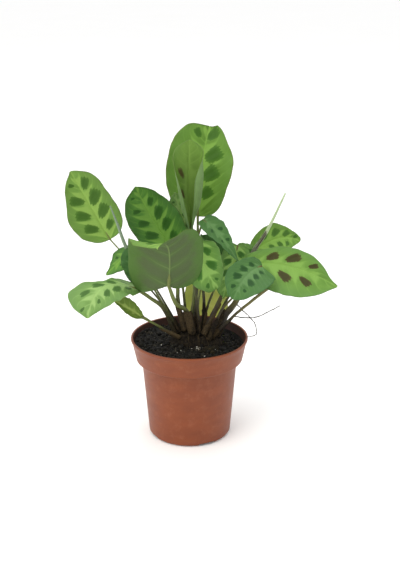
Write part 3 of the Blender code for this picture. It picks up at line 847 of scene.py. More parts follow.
@dataclass(frozen=True)
class Blade:
    """A leaf blade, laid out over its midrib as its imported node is.

    Pairs are for the left and right half, seen on the upper face with the tip ahead. fold is how far each
    half rises from the flat at the midrib and curl how much further it has turned at its edge, both in
    degrees; fold_tip and curl_tip hold at the tip. roll above 1 brings the turning nearer the edge. lobe
    is how far the base reaches back past the petiole. A blade without edges is an oval; edges are
    half-widths at nine stations, closer together at the ends. shoulders are how far the outline stands
    ahead of the tip on each side of it.
    """

    name: str
    midrib: tuple[tuple[float, float, float], ...]
    halves: tuple[float, float]
    face: tuple[float, float, float]
    finish: BladeFace
    face_tip: tuple[float, float, float] | None = None
    fold: tuple[float, float] = (10.0, 10.0)
    fold_tip: tuple[float, float] | None = None
    curl: tuple[float, float] = (10.0, 10.0)
    curl_tip: tuple[float, float] | None = None
    roll: float = 1.0
    lobe: float = 6.0
    ripple: float = 0.0
    waves: float = 2.0
    slot: Slot = Slot.GREEN
    back: BladeBack = UNDER_PALE
    spots: tuple[SpotRow, ...] = ()
    edges: tuple[tuple[float, ...], tuple[float, ...]] | None = None
    shoulders: tuple[float, float] = (0.0, 0.0)
    quilt: float = 0.35

    def length(self) -> float:
        """Add up the midrib's two chords.

        Returns:
            Their length in millimetres.
        """
        base, half, tip = (np.array(point, float) for point in self.midrib)
        return float(np.linalg.norm(half - base) + np.linalg.norm(tip - half))

    def midrib_at(self, along: np.ndarray) -> tuple[np.ndarray, np.ndarray]:
        """Follow the parabola through the midrib's base, halfway and tip points.

        Args:
            along: Places from 0 to 1.

        Returns:
            The points and the directions ahead.
        """
        base, half, tip = (np.array(point, float) for point in self.midrib)
        slope = 4.0 * half - 3.0 * base - tip
        bend = 2.0 * (base - 2.0 * half + tip)
        t = along[:, None]
        return base + slope * t + bend * t * t, unit(slope + 2.0 * bend * t)

    def half_width(self, along: np.ndarray, side: Side) -> np.ndarray:
        """Give the width of one half.

        Args:
            along: Places from 0 to 1.
            side: The half.

        Returns:
            The widths in millimetres.
        """
        draw = RandomState(len(self.name) * 31 + side.value * 7 + int(self.halves[0] * 3))
        beats = sum(np.sin(TAU * (beat * along + draw.rand())) / beat for beat in (3.0, 5.0, 8.0, 13.0))
        if self.edges:
            stations = np.array((0.0, *self.edges[side.value], 0.0))
            round_place = np.arccos(np.clip(1.0 - 2.0 * along, -1.0, 1.0)) / math.pi * (len(stations) - 1)
            fine = curve_through(stations[:, None], 16)[:, 0]
            width = np.interp(round_place * 16.0, np.arange(len(fine)), fine)
            return np.maximum(width + 0.5 * beats * np.minimum(width / 8.0, 1.0), BLADE_END)
        place = np.minimum(along / OVAL_END, 1.0) ** (math.log(0.5) / math.log(WIDEST))
        oval = np.maximum(1.0 - np.abs(2.0 * place - 1.0) ** FULLNESS, 0.0) ** (1.0 / FULLNESS)
        point = TIP_POINT * np.minimum((1.0 - along) / (2.0 * (1.0 - OVAL_END)), 1.0)
        width = self.halves[side.value] * oval + 0.6 * beats * oval
        return np.maximum(np.maximum(width, np.where(along > 0.5, point, 0.0)), BLADE_END)

    def cross_section(self, fold: np.ndarray, curl: np.ndarray, reach: np.ndarray
                      ) -> tuple[np.ndarray, np.ndarray]:
        """Add up the turning of a half from the midrib outwards.

        Args:
            fold: Angle at the midrib for each row.
            curl: Further turn at the edge for each row.
            reach: Share of the way to the edge for each column.

        Returns:
            How far out and up each point is, for a half of width 1.
        """
        step = reach / SECTION_STEPS
        places = (np.arange(SECTION_STEPS) + 0.5)[:, None] * step
        turns = fold[:, None, None] + curl[:, None, None] * places[None] ** self.roll
        return np.cos(turns).sum(1) * step, np.sin(turns).sum(1) * step

    def surface(self, along: np.ndarray, across: np.ndarray) -> np.ndarray:
        """Lay a grid of points over the blade's middle surface.

        Args:
            along: Rows, 0 at the base to 1 at the tip.
            across: Columns, -1 at the left edge to 1 at the right.

        Returns:
            The points, rows by columns by 3.
        """
        point, ahead = self.midrib_at(along)
        opened = (along * along)[:, None]
        face = np.array(self.face) * (1.0 - opened) + np.array(self.face_tip or self.face) * opened
        up = unit(face - ahead * (face * ahead).sum(1, keepdims=True))
        right = np.cross(ahead, up)
        grid = np.zeros((len(along), len(across), 3))
        for side in Side:
            index, columns = side.value, on_half(across, side)
            mixed = [np.radians(start[index] + ((end or start)[index] - start[index]) * opened[:, 0])
                     for start, end in ((self.fold, self.fold_tip), (self.curl, self.curl_tip))]
            reach = np.abs(across[columns])
            half = self.half_width(along, side)[:, None]
            outward, lift = (half * share for share in self.cross_section(*mixed, reach))
            wave = np.sin(TAU * self.waves * along + 2.0 * index)[:, None]
            lift = lift + self.ripple * reach ** 2 * wave
            # A small flutter that only the margin has.
            lift = lift + 0.5 * reach ** 6 * np.sin(TAU * (6.3 * along[:, None] + 0.2 * index))
            back = self.lobe * reach * (half / self.halves[index]) * (1.0 - along[:, None]) ** 3
            near_tip = smooth_step(0.84, 0.97, along) * np.clip((1.0 - along) / 0.02, 0.0, 1.0)
            back = back - self.shoulders[index] * reach ** 2 * near_tip[:, None]
            sign = 1.0 if side is Side.RIGHT else -1.0
            grid[:, columns] = (point[:, None] + right[:, None] * (sign * outward)[..., None]
                                + up[:, None] * lift[..., None] - ahead[:, None] * back[..., None])
        return grid

    def vein_field(self, along: np.ndarray, across: np.ndarray) -> np.ndarray:
        """Count the lateral veins, so that the blotches lie halfway between whole numbers.

        Args:
            along: Rows.
            across: Columns.

        Returns:
            The count at each grid point.
        """
        reach = np.abs(across)[None, :]
        slant = 0.62 * max(self.halves) / self.length()
        ahead = along[:, None] - slant * (reach + 0.35 * reach ** 3)
        count = ahead * max(round(self.length() / VEIN_SPACING), 3)
        for row in self.spots:
            start = row.first - slant * (row.out + 0.35 * row.out ** 3)
            count = np.where(on_half(across, row.side), (ahead - start) / row.step + 0.5, count)
        return count

    def spot_field(self, along: np.ndarray, across: np.ndarray, widths: np.ndarray) -> np.ndarray:
        """Say how far inside a blotch each point is.

        Args:
            along: Rows.
            across: Columns.
            widths: Distance of each grid point from the midrib in millimetres.

        Returns:
            1 at the middle of a blotch, 0 on its edge and down to -1 away from it.
        """
        nearest = np.full(widths.shape, 2.0)
        for number, row in enumerate(self.spots):
            half = self.half_width(along, row.side)
            for order, length in enumerate(row.lengths):
                centre = row.first + row.step * order
                wobble = math.sin(7.3 * order + 3.1 * number + len(self.name))
                lean = math.radians(row.lean + 7.0 * wobble)
                middle = float(np.interp(centre, along, half)) * (row.out + 0.03 * wobble)
                ahead = (along[:, None] - centre) * self.length()
                out = widths - middle
                down = ahead * math.cos(lean) + out * math.sin(lean)
                over = ahead * math.sin(lean) - out * math.cos(lean)
                teeth = 0.84 + 0.3 * np.abs((over / 1.5 + wobble) % 2.0 - 1.0)
                breadth = length * row.breadth * (1.0 + 0.3 * np.clip(down / length, -1.2, 1.2))
                shape = ((np.abs(down) / (length * teeth)) ** SPOT_SQUARENESS
                         + (np.abs(over) / breadth) ** SPOT_SQUARENESS) ** (1.0 / SPOT_SQUARENESS)
                nearest = np.where(on_half(across, row.side), np.minimum(nearest, shape), nearest)
        return np.clip(1.0 - nearest, -1.0, 1.0)

    def build(self) -> None:
        """Build and dress the blade."""
        along = 0.5 - 0.5 * np.cos(math.pi * np.linspace(0.0, 1.0, BLADE_ROWS))
        spread = np.linspace(-1.0, 1.0, BLADE_COLUMNS)
        across = np.sign(spread) * np.abs(spread) ** 1.3
        middle = self.surface(along, across)
        normal = unit(np.cross(np.gradient(middle, axis=1), np.gradient(middle, axis=0)))
        halves = np.where(on_half(across, Side.LEFT), self.half_width(along, Side.LEFT)[:, None],
                          self.half_width(along, Side.RIGHT)[:, None])
        widths = halves * np.abs(across)[None, :]
        reach = np.abs(across)[None, :]
        vein = self.vein_field(along, across)
        between = 0.5 - 0.5 * np.cos(2.0 * TAU * vein)
        inner = smooth_step(0.4, 3.0, widths) * (1.0 - 0.75 * reach ** 2) * min(max(self.halves) / 24.0, 1.0)
        groove = np.exp(-(widths / 1.1) ** 2) * (1.0 - 0.6 * along[:, None])
        relief = self.quilt * between * inner
        upper = middle + normal * (relief - 0.55 * groove + 0.5 * BLADE_THICKNESS)[..., None]
        lower = middle + normal * (relief - 0.75 * groove - 0.5 * BLADE_THICKNESS)[..., None]
        points, faces = closed_sheet(upper, lower)
        quads = (BLADE_ROWS - 1) * (BLADE_COLUMNS - 1)
        skins = np.zeros(len(faces), np.int32)
        skins[quads:2 * quads] = 1
        numbers = {"along": np.repeat(along, BLADE_COLUMNS),
                   "across": np.tile(across, BLADE_ROWS),
                   "vein": vein.ravel(), "midrib": widths.ravel(),
                   "spot": self.spot_field(along, across, widths).ravel()}
        both = {key: np.concatenate([value, value]) for key, value in numbers.items()}
        new_piece("blade_" + self.name, points, faces, (self.finish, self.back),
                  "leaf_" + self.name, both, skins)


L, R = Side.LEFT, Side.RIGHT
SMALL_SPOTS = (SpotRow(L, 0.3, 0.24, (2.2, 2.8, 1.8)), SpotRow(R, 0.22, 0.24, (2.2, 2.8, 1.8)))

BLADES = (
    Blade("upper_left", ((-81, 30, 200), (-99, 33, 233), (-118, 28, 271)), (23, 26), (-0.1, -0.95, 0.3),
          FRESH, fold=(8, 8), curl=(10, 10), lobe=2,
          spots=(SpotRow(L, 0.25, 0.2, (7.6, 8.0, 7.4, 3.2), 0.45, 60, 0.58),
                 SpotRow(R, 0.19, 0.205, (6.0, 8.6, 9.2, 6.6), 0.33, 38, 0.58)),
          edges=((9, 17, 24, 27.5, 27.5, 22, 16.5, 10.5, 3),
                 (12, 19, 23.5, 25.5, 24.5, 23.5, 22, 17, 8))),
    Blade("left_middle", ((-15, 4, 192), (-36, 8, 227), (-52, 0, 262)), (26.5, 29.5), (0.0, -0.9, 0.4),
          COOL, fold=(10, 22), curl=(12, 20), ripple=0.8,
          spots=(SpotRow(L, 0.34, 0.18, (7.4, 6.4, 4.4, 2.6), 0.42, 60, 0.5),
                 SpotRow(R, 0.2, 0.18, (6.4, 7.8, 8.2, 5.6), 0.33, 38, 0.52)),
          edges=((8.5, 12, 17.5, 23, 25, 24.5, 21.5, 15.5, 6),
                 (8, 21, 27.5, 29.5, 30, 27, 21.5, 16.5, 9.5))),
    Blade("top", ((9, 32, 224), (12, 35, 270), (21, 44, 313)), (36, 33), (-0.1, -0.98, 0.2), BROAD,
          shoulders=(0.5, 4.5),
          fold=(14, 14), curl=(12, 8), lobe=3, ripple=1.0,
          spots=(SpotRow(L, 0.3, 0.2, (8.0, 9.0, 8.0, 5.0), 0.36, 42, 0.66),
                 SpotRow(R, 0.265, 0.215, (7.4, 9.6, 9.8, 6.4), 0.3, 42, 0.72)),
          edges=((13.5, 21.5, 29, 34, 36, 35, 33, 27, 18),
                 (12, 21, 27, 30, 33.5, 33.5, 28, 19, 9))),
    Blade("furled", ((2, 6, 212), (0, 2, 262), (1, -6, 309)), (20, 24), (0.0, -1.0, 0.1), ROLLED,
          fold=(20, 12), curl=(205, 380), fold_tip=(4, 4), curl_tip=(-10, 0),
          roll=2.2, lobe=0, quilt=0.2, back=UNDER_SILVER,
          spots=(SpotRow(L, 0.43, 0.22, (5.0, 6.4), 0.36, 20, 0.36),
                 SpotRow(R, 0.58, 0.2, (3.4,), 0.3, 20, 0.45)),
          edges=((2, 7, 13, 18, 20, 20, 19, 14, 5),
                 (2, 8, 17, 28, 31, 29, 22, 16.5, 7))),
    Blade("tucked", ((-4, 20, 206), (-9, 21, 230), (-14, 18, 252)), (11, 11), (0.1, -1.0, 0.2), PAINTED_LIT,
          spots=SMALL_SPOTS),
    Blade("front", ((-20, -37, 173), (-19, -65, 219), (-28, -91, 227)), (31, 39), (0.05, 0.62, 0.78),
          FRESH, fold=(12, 3), curl=(20, 14), ripple=1.2, waves=3, lobe=34,
          slot=Slot.UNDER, back=UNDER_GREY,
          spots=(SpotRow(L, 0.2, 0.19, (6, 8, 8, 6)), SpotRow(R, 0.2, 0.19, (6, 8, 8, 6))),
          edges=((11, 24, 32.5, 33.5, 33, 31, 27, 21, 11),
                 (24, 34, 40, 41, 40, 37, 33, 27, 14))),
    Blade("behind_front", ((-38, -9, 165), (-50, -16, 186), (-58, -18, 208)), (15, 15),
          (-0.2, -0.9, 0.3), SHADED, lobe=1, slot=Slot.DARK, spots=SMALL_SPOTS),
    Blade("small_left", ((-53, 14, 193), (-66, 14, 186), (-84, 10, 168)), (12, 8), (-0.3, -0.6, 0.7), COOL,
          spots=(SpotRow(L, 0.42, 0.24, (2.4, 1.6)), SpotRow(R, 0.4, 0.24, (2.6, 1.8))),
          edges=((5, 9.5, 13.5, 17, 19, 17.5, 12, 7, 3),
                 (5, 6, 7, 8.5, 10.5, 10, 5.5, 2.5, 1.2))),
    Blade("low_left", ((-50, -14, 160), (-82, -36, 172), (-97, -56, 147)), (25, 25), (0.0, -0.12, 1.0),
          PAINTED_LIT, face_tip=(-0.35, -0.95, 0.3), fold=(0, 0), curl=(5, 5), ripple=1.2, waves=3,
          spots=(SpotRow(L, 0.2, 0.19, (4.4, 7.4, 6.0, 3.0), 0.36, 34, 0.55),
                 SpotRow(R, 0.16, 0.19, (3.2, 5.2, 6.0, 5.0, 2.6), 0.4, 34, 0.5)),
          edges=((6, 14.5, 23.5, 28, 28, 24, 19, 9.5, 3),
                 (13, 20, 15, 9.5, 12, 20, 27, 19, 6))),
    Blade("olive", ((-46, -14, 131), (-59, -20, 142), (-74, -24, 153)), (7, 9), (0.3, -0.8, 0.5), OLIVE,
          lobe=1, slot=Slot.OLD,
          edges=((1.5, 3, 5, 6.5, 6.5, 5.5, 3.5, 2.5, 1.2),
                 (1.5, 3, 5, 7, 8.5, 9.5, 8.5, 6, 2))),
    Blade("hanging", ((8, -6, 209), (15, -15, 186), (28, -22, 165)), (19, 19), (-0.5, -0.8, 0.5), BRIGHT,
          ripple=1.0, lobe=0,
          spots=(SpotRow(L, 0.24, 0.3, (5.4, 6.6, 2.2), 0.34, 38),
                 SpotRow(R, 0.3, 0.28, (4.2, 6.6, 2.6), 0.46, 44)),
          edges=((8, 20, 23.5, 23.5, 22.5, 20.5, 16.5, 10.5, 5.5),
                 (4, 9, 14, 17.5, 20, 20.5, 17, 12, 8.5))),
    Blade("arched", ((14, 6, 227), (30, -3, 214), (48, -10, 189)), (11, 13), (0.3, -0.6, 0.8), BLUE,
          lobe=2, slot=Slot.DARK,
          spots=(SpotRow(L, 0.42, 0.23, (2.8, 2.3), 0.42), SpotRow(R, 0.36, 0.26, (2.6, 1.8), 0.3)),
          edges=((6, 9.5, 11, 12.5, 11, 8.5, 5, 3, 1.2),
                 (6.5, 10.5, 13.5, 14.5, 12.5, 9, 6.5, 3.5, 1.5))),
    Blade("inner", ((34, 22, 178), (22, 25, 191), (12, 22, 207)), (11, 11), (0.0, -0.9, 0.4), BLUE,
          slot=Slot.DARK, spots=SMALL_SPOTS),
    Blade("inner_right", ((49, 12, 198), (43, 6, 176), (34, 0, 146)), (16, 16), (0.2, -0.95, 0.2), BRIGHT,
          spots=(SpotRow(L, 0.2, 0.2, (4.0, 4.6, 4.0)), SpotRow(R, 0.2, 0.2, (4.0, 4.6, 4.0)))),
    Blade("inner_wavy", ((70, 28, 175), (59, 28, 184), (47, 29, 191)), (11, 11), (0.1, -0.7, 0.7), BRIGHT,
          ripple=1.0, spots=SMALL_SPOTS),
    Blade("dark_right", ((71, -20, 187), (55, -38, 183), (42, -60, 167)), (22, 20), (0.15, -0.72, 0.68),
          BLUE, fold=(8, 8), lobe=8, slot=Slot.DARK,
          spots=(SpotRow(L, 0.2, 0.2, (3.2, 4.2, 4.6, 2.2), 0.34),
                 SpotRow(R, 0.24, 0.19, (3.4, 4.4, 4.6, 2.6), 0.36)),
          edges=((12, 20, 22, 24.5, 24.5, 22.5, 18.5, 12.5, 7.5),
                 (5, 9.5, 12, 14.5, 17, 18, 16, 10.5, 6.5))),
    Blade("right", ((60, -4, 184), (101, -11, 183), (145, -28, 168)), (20, 28), (0.05, -0.7, 0.7), RUSTY,
          fold=(14, 6), curl=(14, 6), lobe=8,
          spots=(SpotRow(L, 0.07, 0.215, (3.0, 6.6, 7.4, 4.6), 0.44, 26, 0.5),
                 SpotRow(R, 0.46, 0.24, (8.6, 7.0), 0.34, 24, 0.5)),
          edges=((8.5, 11.5, 14, 17.5, 19, 17.5, 12, 4.5, 1.5),
                 (11.5, 18.5, 27, 33, 35, 34, 29, 18, 6))),
    Blade("far_right", ((66, 40, 182), (92, 44, 196), (115, 38, 195)), (16, 15), (-0.1, -0.75, 0.65),
          BROAD, fold=(8, 8),
          spots=(SpotRow(L, 0.3, 0.19, (3.0, 4.6, 4.0, 2.6), 0.4), SpotRow(R, 0.34, 0.2, (3.2, 4.2, 3.6))),
          edges=((4, 9, 12.5, 15.5, 17, 12, 8, 5, 3),
                 (6, 11, 16.5, 19, 20, 20, 17, 12, 6))),
    # Its finish is painted pale: a painted glow for the light behind it.
    Blade("old", ((20, 62, 150), (18, 72, 116), (16, 76, 74)), (25, 25), (0.0, -0.9, 0.2), YELLOWED_PAINTED_GLOW,
          slot=Slot.OLD, back=UNDER_YELLOW),
)


# ---- Stalks, rolled leaves and roots ----

GAP = 0.3
JOINT_GAP = 2.2
STALK_BURY = 2.5
STALK_SIDES = 16
STALK_SLIMNESS = 0.9
FOOT_SWELL = 0.35
JOINT_SWELL = 0.35
PEAT_HEIGHT = 98.0
PEAT_SLOPE = 0.055
CROWN_CENTRE = (7.0, 0.0)
CROWN_RADII = (28.0, 15.0)
CROWN_RISE = 14.0


def peat_top(x: float, y: float) -> float:
    """Find the surface of the peat.

    Args:
        x: Place to the right, in millimetres.
        y: Place to the back, in millimetres.

    Returns:
        Its height there in millimetres.
    """
    lumps = math.sin(x / 7.0 + 1.3) * math.cos(y / 6.0) + 0.6 * math.sin(x / 4.1 - y / 5.3)
    return PEAT_HEIGHT - PEAT_SLOPE * (x + y) + 0.7 * lumps


def crown_top(x: float, y: float) -> float:
    """Find the crown's surface.

    Args:
        x: Place to the right, in millimetres.
        y: Place to the back, in millimetres.

    Returns:
        Its height there in millimetres.
    """
    across = (x - CROWN_CENTRE[0]) / CROWN_RADII[0]
    deep = (y - CROWN_CENTRE[1]) / CROWN_RADII[1]
    return peat_top(x, y) + GAP + CROWN_RISE * math.sqrt(max(1.0 - across ** 2 - deep ** 2, 0.0))


LEAVES = {blade.name: blade for blade in BLADES}


@dataclass(frozen=True)
class Stalk:
    """A petiole: thick and sheathed at its foot, with a swollen joint under its blade.

    points go from the foot, given by its place on the crown alone, to the top; radii are spread evenly
    over them. A stalk goes by its blade's name, and the bare one has lost its blade.
    """

    blade: str
    points: tuple[tuple[float, ...], ...]
    radii: tuple[float, ...]
    skin: StalkSkin = PETIOLE

    def route(self) -> np.ndarray:
        """Find the points that the stalk's middle line passes.

        Returns:
            The points, from inside the crown to the top.
        """
        x, y = self.points[0]
        points = [np.array((x, y, crown_top(x, y) + GAP + 0.9 * self.radii[0]), float)]
        points += [np.array(point, float) for point in self.points[1:]]
        if self.blade in LEAVES:
            base = np.array(LEAVES[self.blade].midrib[0], float)
            points.append(base + unit(points[-1] - base) * JOINT_GAP)
        points[0] = points[0] + unit(points[0] - points[1]) * STALK_BURY
        return np.array(points)

    def build(self) -> None:
        """Build and dress the stalk."""
        node = "petiole_" + self.blade
        leaf = LEAVES.get(self.blade)
        path = curve_through(self.route(), 10)
        if leaf:
            start, ahead = leaf.midrib_at(np.array([0.0, 0.06, 0.12]))
            face = np.array(leaf.face, float)
            below = unit(face - ahead * (ahead @ face)[:, None])
            path = np.concatenate([path, start - below * np.array([[0.5], [0.7], [0.6]])])
        gaps = np.linalg.norm(np.diff(path, axis=0), axis=1)
        reach = np.concatenate([[0.0], np.cumsum(gaps)])
        share = reach / reach[-1]
        radii = np.interp(share, np.linspace(0.0, 1.0, len(self.radii)), self.radii)
        # The sheathed foot is thicker; the joint swells over its last 9 mm and then thins under the blade.
        radii = STALK_SLIMNESS * radii * (1.0 + FOOT_SWELL * (1.0 - smooth_step(0.0, 0.3, share)))
        if leaf:
            left = reach[-1] - reach
            radii = radii * (1.0 + JOINT_SWELL * smooth_step(12.0, 8.5, left))
            radii = radii * (1.0 - 0.62 * smooth_step(4.5, 0.0, left))
        angles = np.arange(STALK_SIDES) * TAU / STALK_SIDES
        ribs = 1.0 + 0.05 * np.cos(5.0 * angles + len(node))
        groove = 1.0 - 0.22 * np.exp(-((angles - 1.4) / 0.35) ** 2)
        foot = (1.0 - smooth_step(0.0, 0.45, share))[:, None]
        section = ribs[None, :] * (1.0 - foot * (1.0 - groove[None, :]))
        lumpy = np.array([[noise.noise(Vector((place * 14.0, math.cos(angle), math.sin(angle) + radius)))
                           for angle in angles] for place, radius in zip(share, radii)])
        points, faces, numbers = tube(path, radii[:, None] * section * (1.0 + 0.12 * lumpy), STALK_SIDES)
        new_piece("stalk_" + self.blade, points, faces, (self.skin,), node, numbers)


@dataclass(frozen=True)
class RolledLeaf:
    """A young leaf still rolled into a spear: a spiral section whose free edge winds up it as a seam."""

    name: str
    points: tuple[tuple[float, float, float], ...]
    radii: tuple[float, ...]
    skin: StalkSkin
    turns: float = 0.7
    step: float = 0.32

    def build(self) -> None:
        """Build and dress the rolled leaf."""
        path = curve_through(np.array(self.points, float), 16)
        share = np.linspace(0.0, 1.0, len(path))
        radii = np.interp(share, np.linspace(0.0, 1.0, len(self.radii)), self.radii)
        around = 28
        turn = (np.arange(around) / around)[None, :] + self.turns * share[:, None] + 0.1
        spiral = 1.0 + self.step * (turn % 1.0 - 0.5)
        points, faces, numbers = tube(path, radii[:, None] * spiral, around)
        new_piece("rolled_" + self.name, points, faces, (self.skin,), self.name, numbers)


@dataclass(frozen=True)
class Root:
    """A thin aerial root, kinked and knobbly."""

    name: str
    points: tuple[tuple[float, float, float], ...]
    radii: tuple[float, ...]

    def build(self) -> None:
        """Build and dress the root."""
        path = curve_through(np.array(self.points, float), 9)
        kink = np.array([[noise.noise(Vector((row * 0.37, axis * 5.0, len(self.name)))) for axis in range(3)]
                         for row in range(len(path))])
        share = np.linspace(0.0, 1.0, len(path))
        radii = np.interp(share, np.linspace(0.0, 1.0, len(self.radii)), self.radii)
        knobs = 1.0 + 0.25 * np.sin(share * 61.0) * np.sin(share * 23.0 + 1.0)
        points, faces, numbers = tube(path + kink * 0.5, radii * knobs, 9)
        new_piece("air_" + self.name, points, faces, (ROOT_SKIN,), self.name, numbers)


STALKS = (
    Stalk("low_left", ((-15, -2), (-26, -8, 138), (-38, -11, 150)), (1.6, 2.2, 1.8)),
    Stalk("olive", ((-12, -8), (-33, -14, 123)), (1.7, 1.4, 1.2)),
    Stalk("upper_left", ((-15, 6), (-28, 8, 137), (-48, 15, 161), (-66, 24, 184)),
          (1.5, 1.1, 1.0, 0.9, 0.8)),
    Stalk("behind_front", ((-11, 1.5), (-23, -1, 134)), (1.5, 1.2, 1.0)),
    Stalk("small_left", ((-10, 7), (-26, 6, 141), (-43, 10, 170)), (1.5, 1.1, 1.0, 0.9)),
    Stalk("front", ((2, -8), (-3, -15, 138), (-13, -30, 152)), (3.2, 2.6, 2.2, 1.2)),
    Stalk("left_middle", ((-5, -1), (-11, 3, 138), (-12, 5, 160)), (2.6, 2.4, 1.8, 1.2)),
    Stalk("tucked", ((-3, 8), (-5, 12, 138), (-7, 16, 165)), (1.8, 1.5, 1.3, 1.0)),
    Stalk("furled", ((2, 1), (3, 2, 130), (5, 4, 158)), (2.0, 1.7, 1.5, 1.3)),
    Stalk("top", ((5, 9), (7, 14, 140), (9, 22, 175)), (2.0, 1.8, 1.6, 1.3)),
    Stalk("hanging", ((10, -4), (8, -3, 140), (5, 1, 170), (5, 2, 197)), (2.0, 1.6, 1.4, 1.2, 1.0)),
    Stalk("arched", ((15, 3), (15, 5, 140), (12, 7, 180), (9, 6, 206)), (2.0, 1.6, 1.3, 1.0)),
    Stalk("inner", ((12, 10), (20, 16, 135), (28, 20, 155)), (1.6, 1.4, 1.2, 1.0)),
    Stalk("inner_right", ((16, -6), (24, -3, 130), (35, 7, 150), (49, 17, 180)),
          (2.6, 2.4, 2.2, 1.2, 1.0), PETIOLE_BROWN),
    Stalk("dark_right", ((21, -10), (31, -14, 136), (42, -18, 152), (58, -20, 170)),
          (1.8, 1.4, 1.2, 1.1, 1.0), PETIOLE_BROWN),
    Stalk("right", ((25, 1), (38, 4, 128), (47, 5, 140), (58, 1, 164)),
          (3.4, 3.9, 3.2, 1.6, 1.2), PETIOLE_BROWN),
    Stalk("far_right", ((24, 9), (36, 18, 132), (52, 30, 156)), (2.0, 1.6, 1.3, 1.0)),
    Stalk("inner_wavy", ((30, 6), (44, 14, 132), (60, 26, 156)), (1.8, 1.5, 1.3, 1.0)),
    Stalk("old", ((8, 13), (9, 28, 128), (14, 48, 146)), (1.6, 1.3, 1.2, 0.9)),
    Stalk("bare", ((25, -6), (46, -10, 132), (61, -14, 147), (85, -20, 170)),
          (1.9, 1.6, 1.7, 2.0), PETIOLE_BROWN),
)

SPEARS = (
    RolledLeaf("spear_left", ((-48, -4, 178), (-61, -5, 200), (-69, -8, 224), (-76, -12, 246)),
               (1.2, 1.7, 1.4, 0.5), SPEAR_GREY),
    RolledLeaf("spear_right", ((52, 10, 160), (64, 12, 190), (78, 12, 213), (95, 8, 253)),
               (2.0, 2.1, 1.7, 0.8), SPEAR_PALE),
)

ROOTS = (
    Root("root_long", ((44, -4, 128), (55, -10, 129), (67, -12, 130), (80, -14, 137), (91, -16, 144)),
         (0.6, 0.55, 0.5, 0.45, 0.4)),
    Root("root_looped", ((49, 0, 139), (54, -8, 136), (61, -12, 130), (66, -14, 124), (68, -16, 116),
                         (66, -16, 112), (58, -13, 109)), (0.5, 0.5, 0.45, 0.45, 0.4, 0.4, 0.35)),
)


# ---- Pot, peat and crown ----


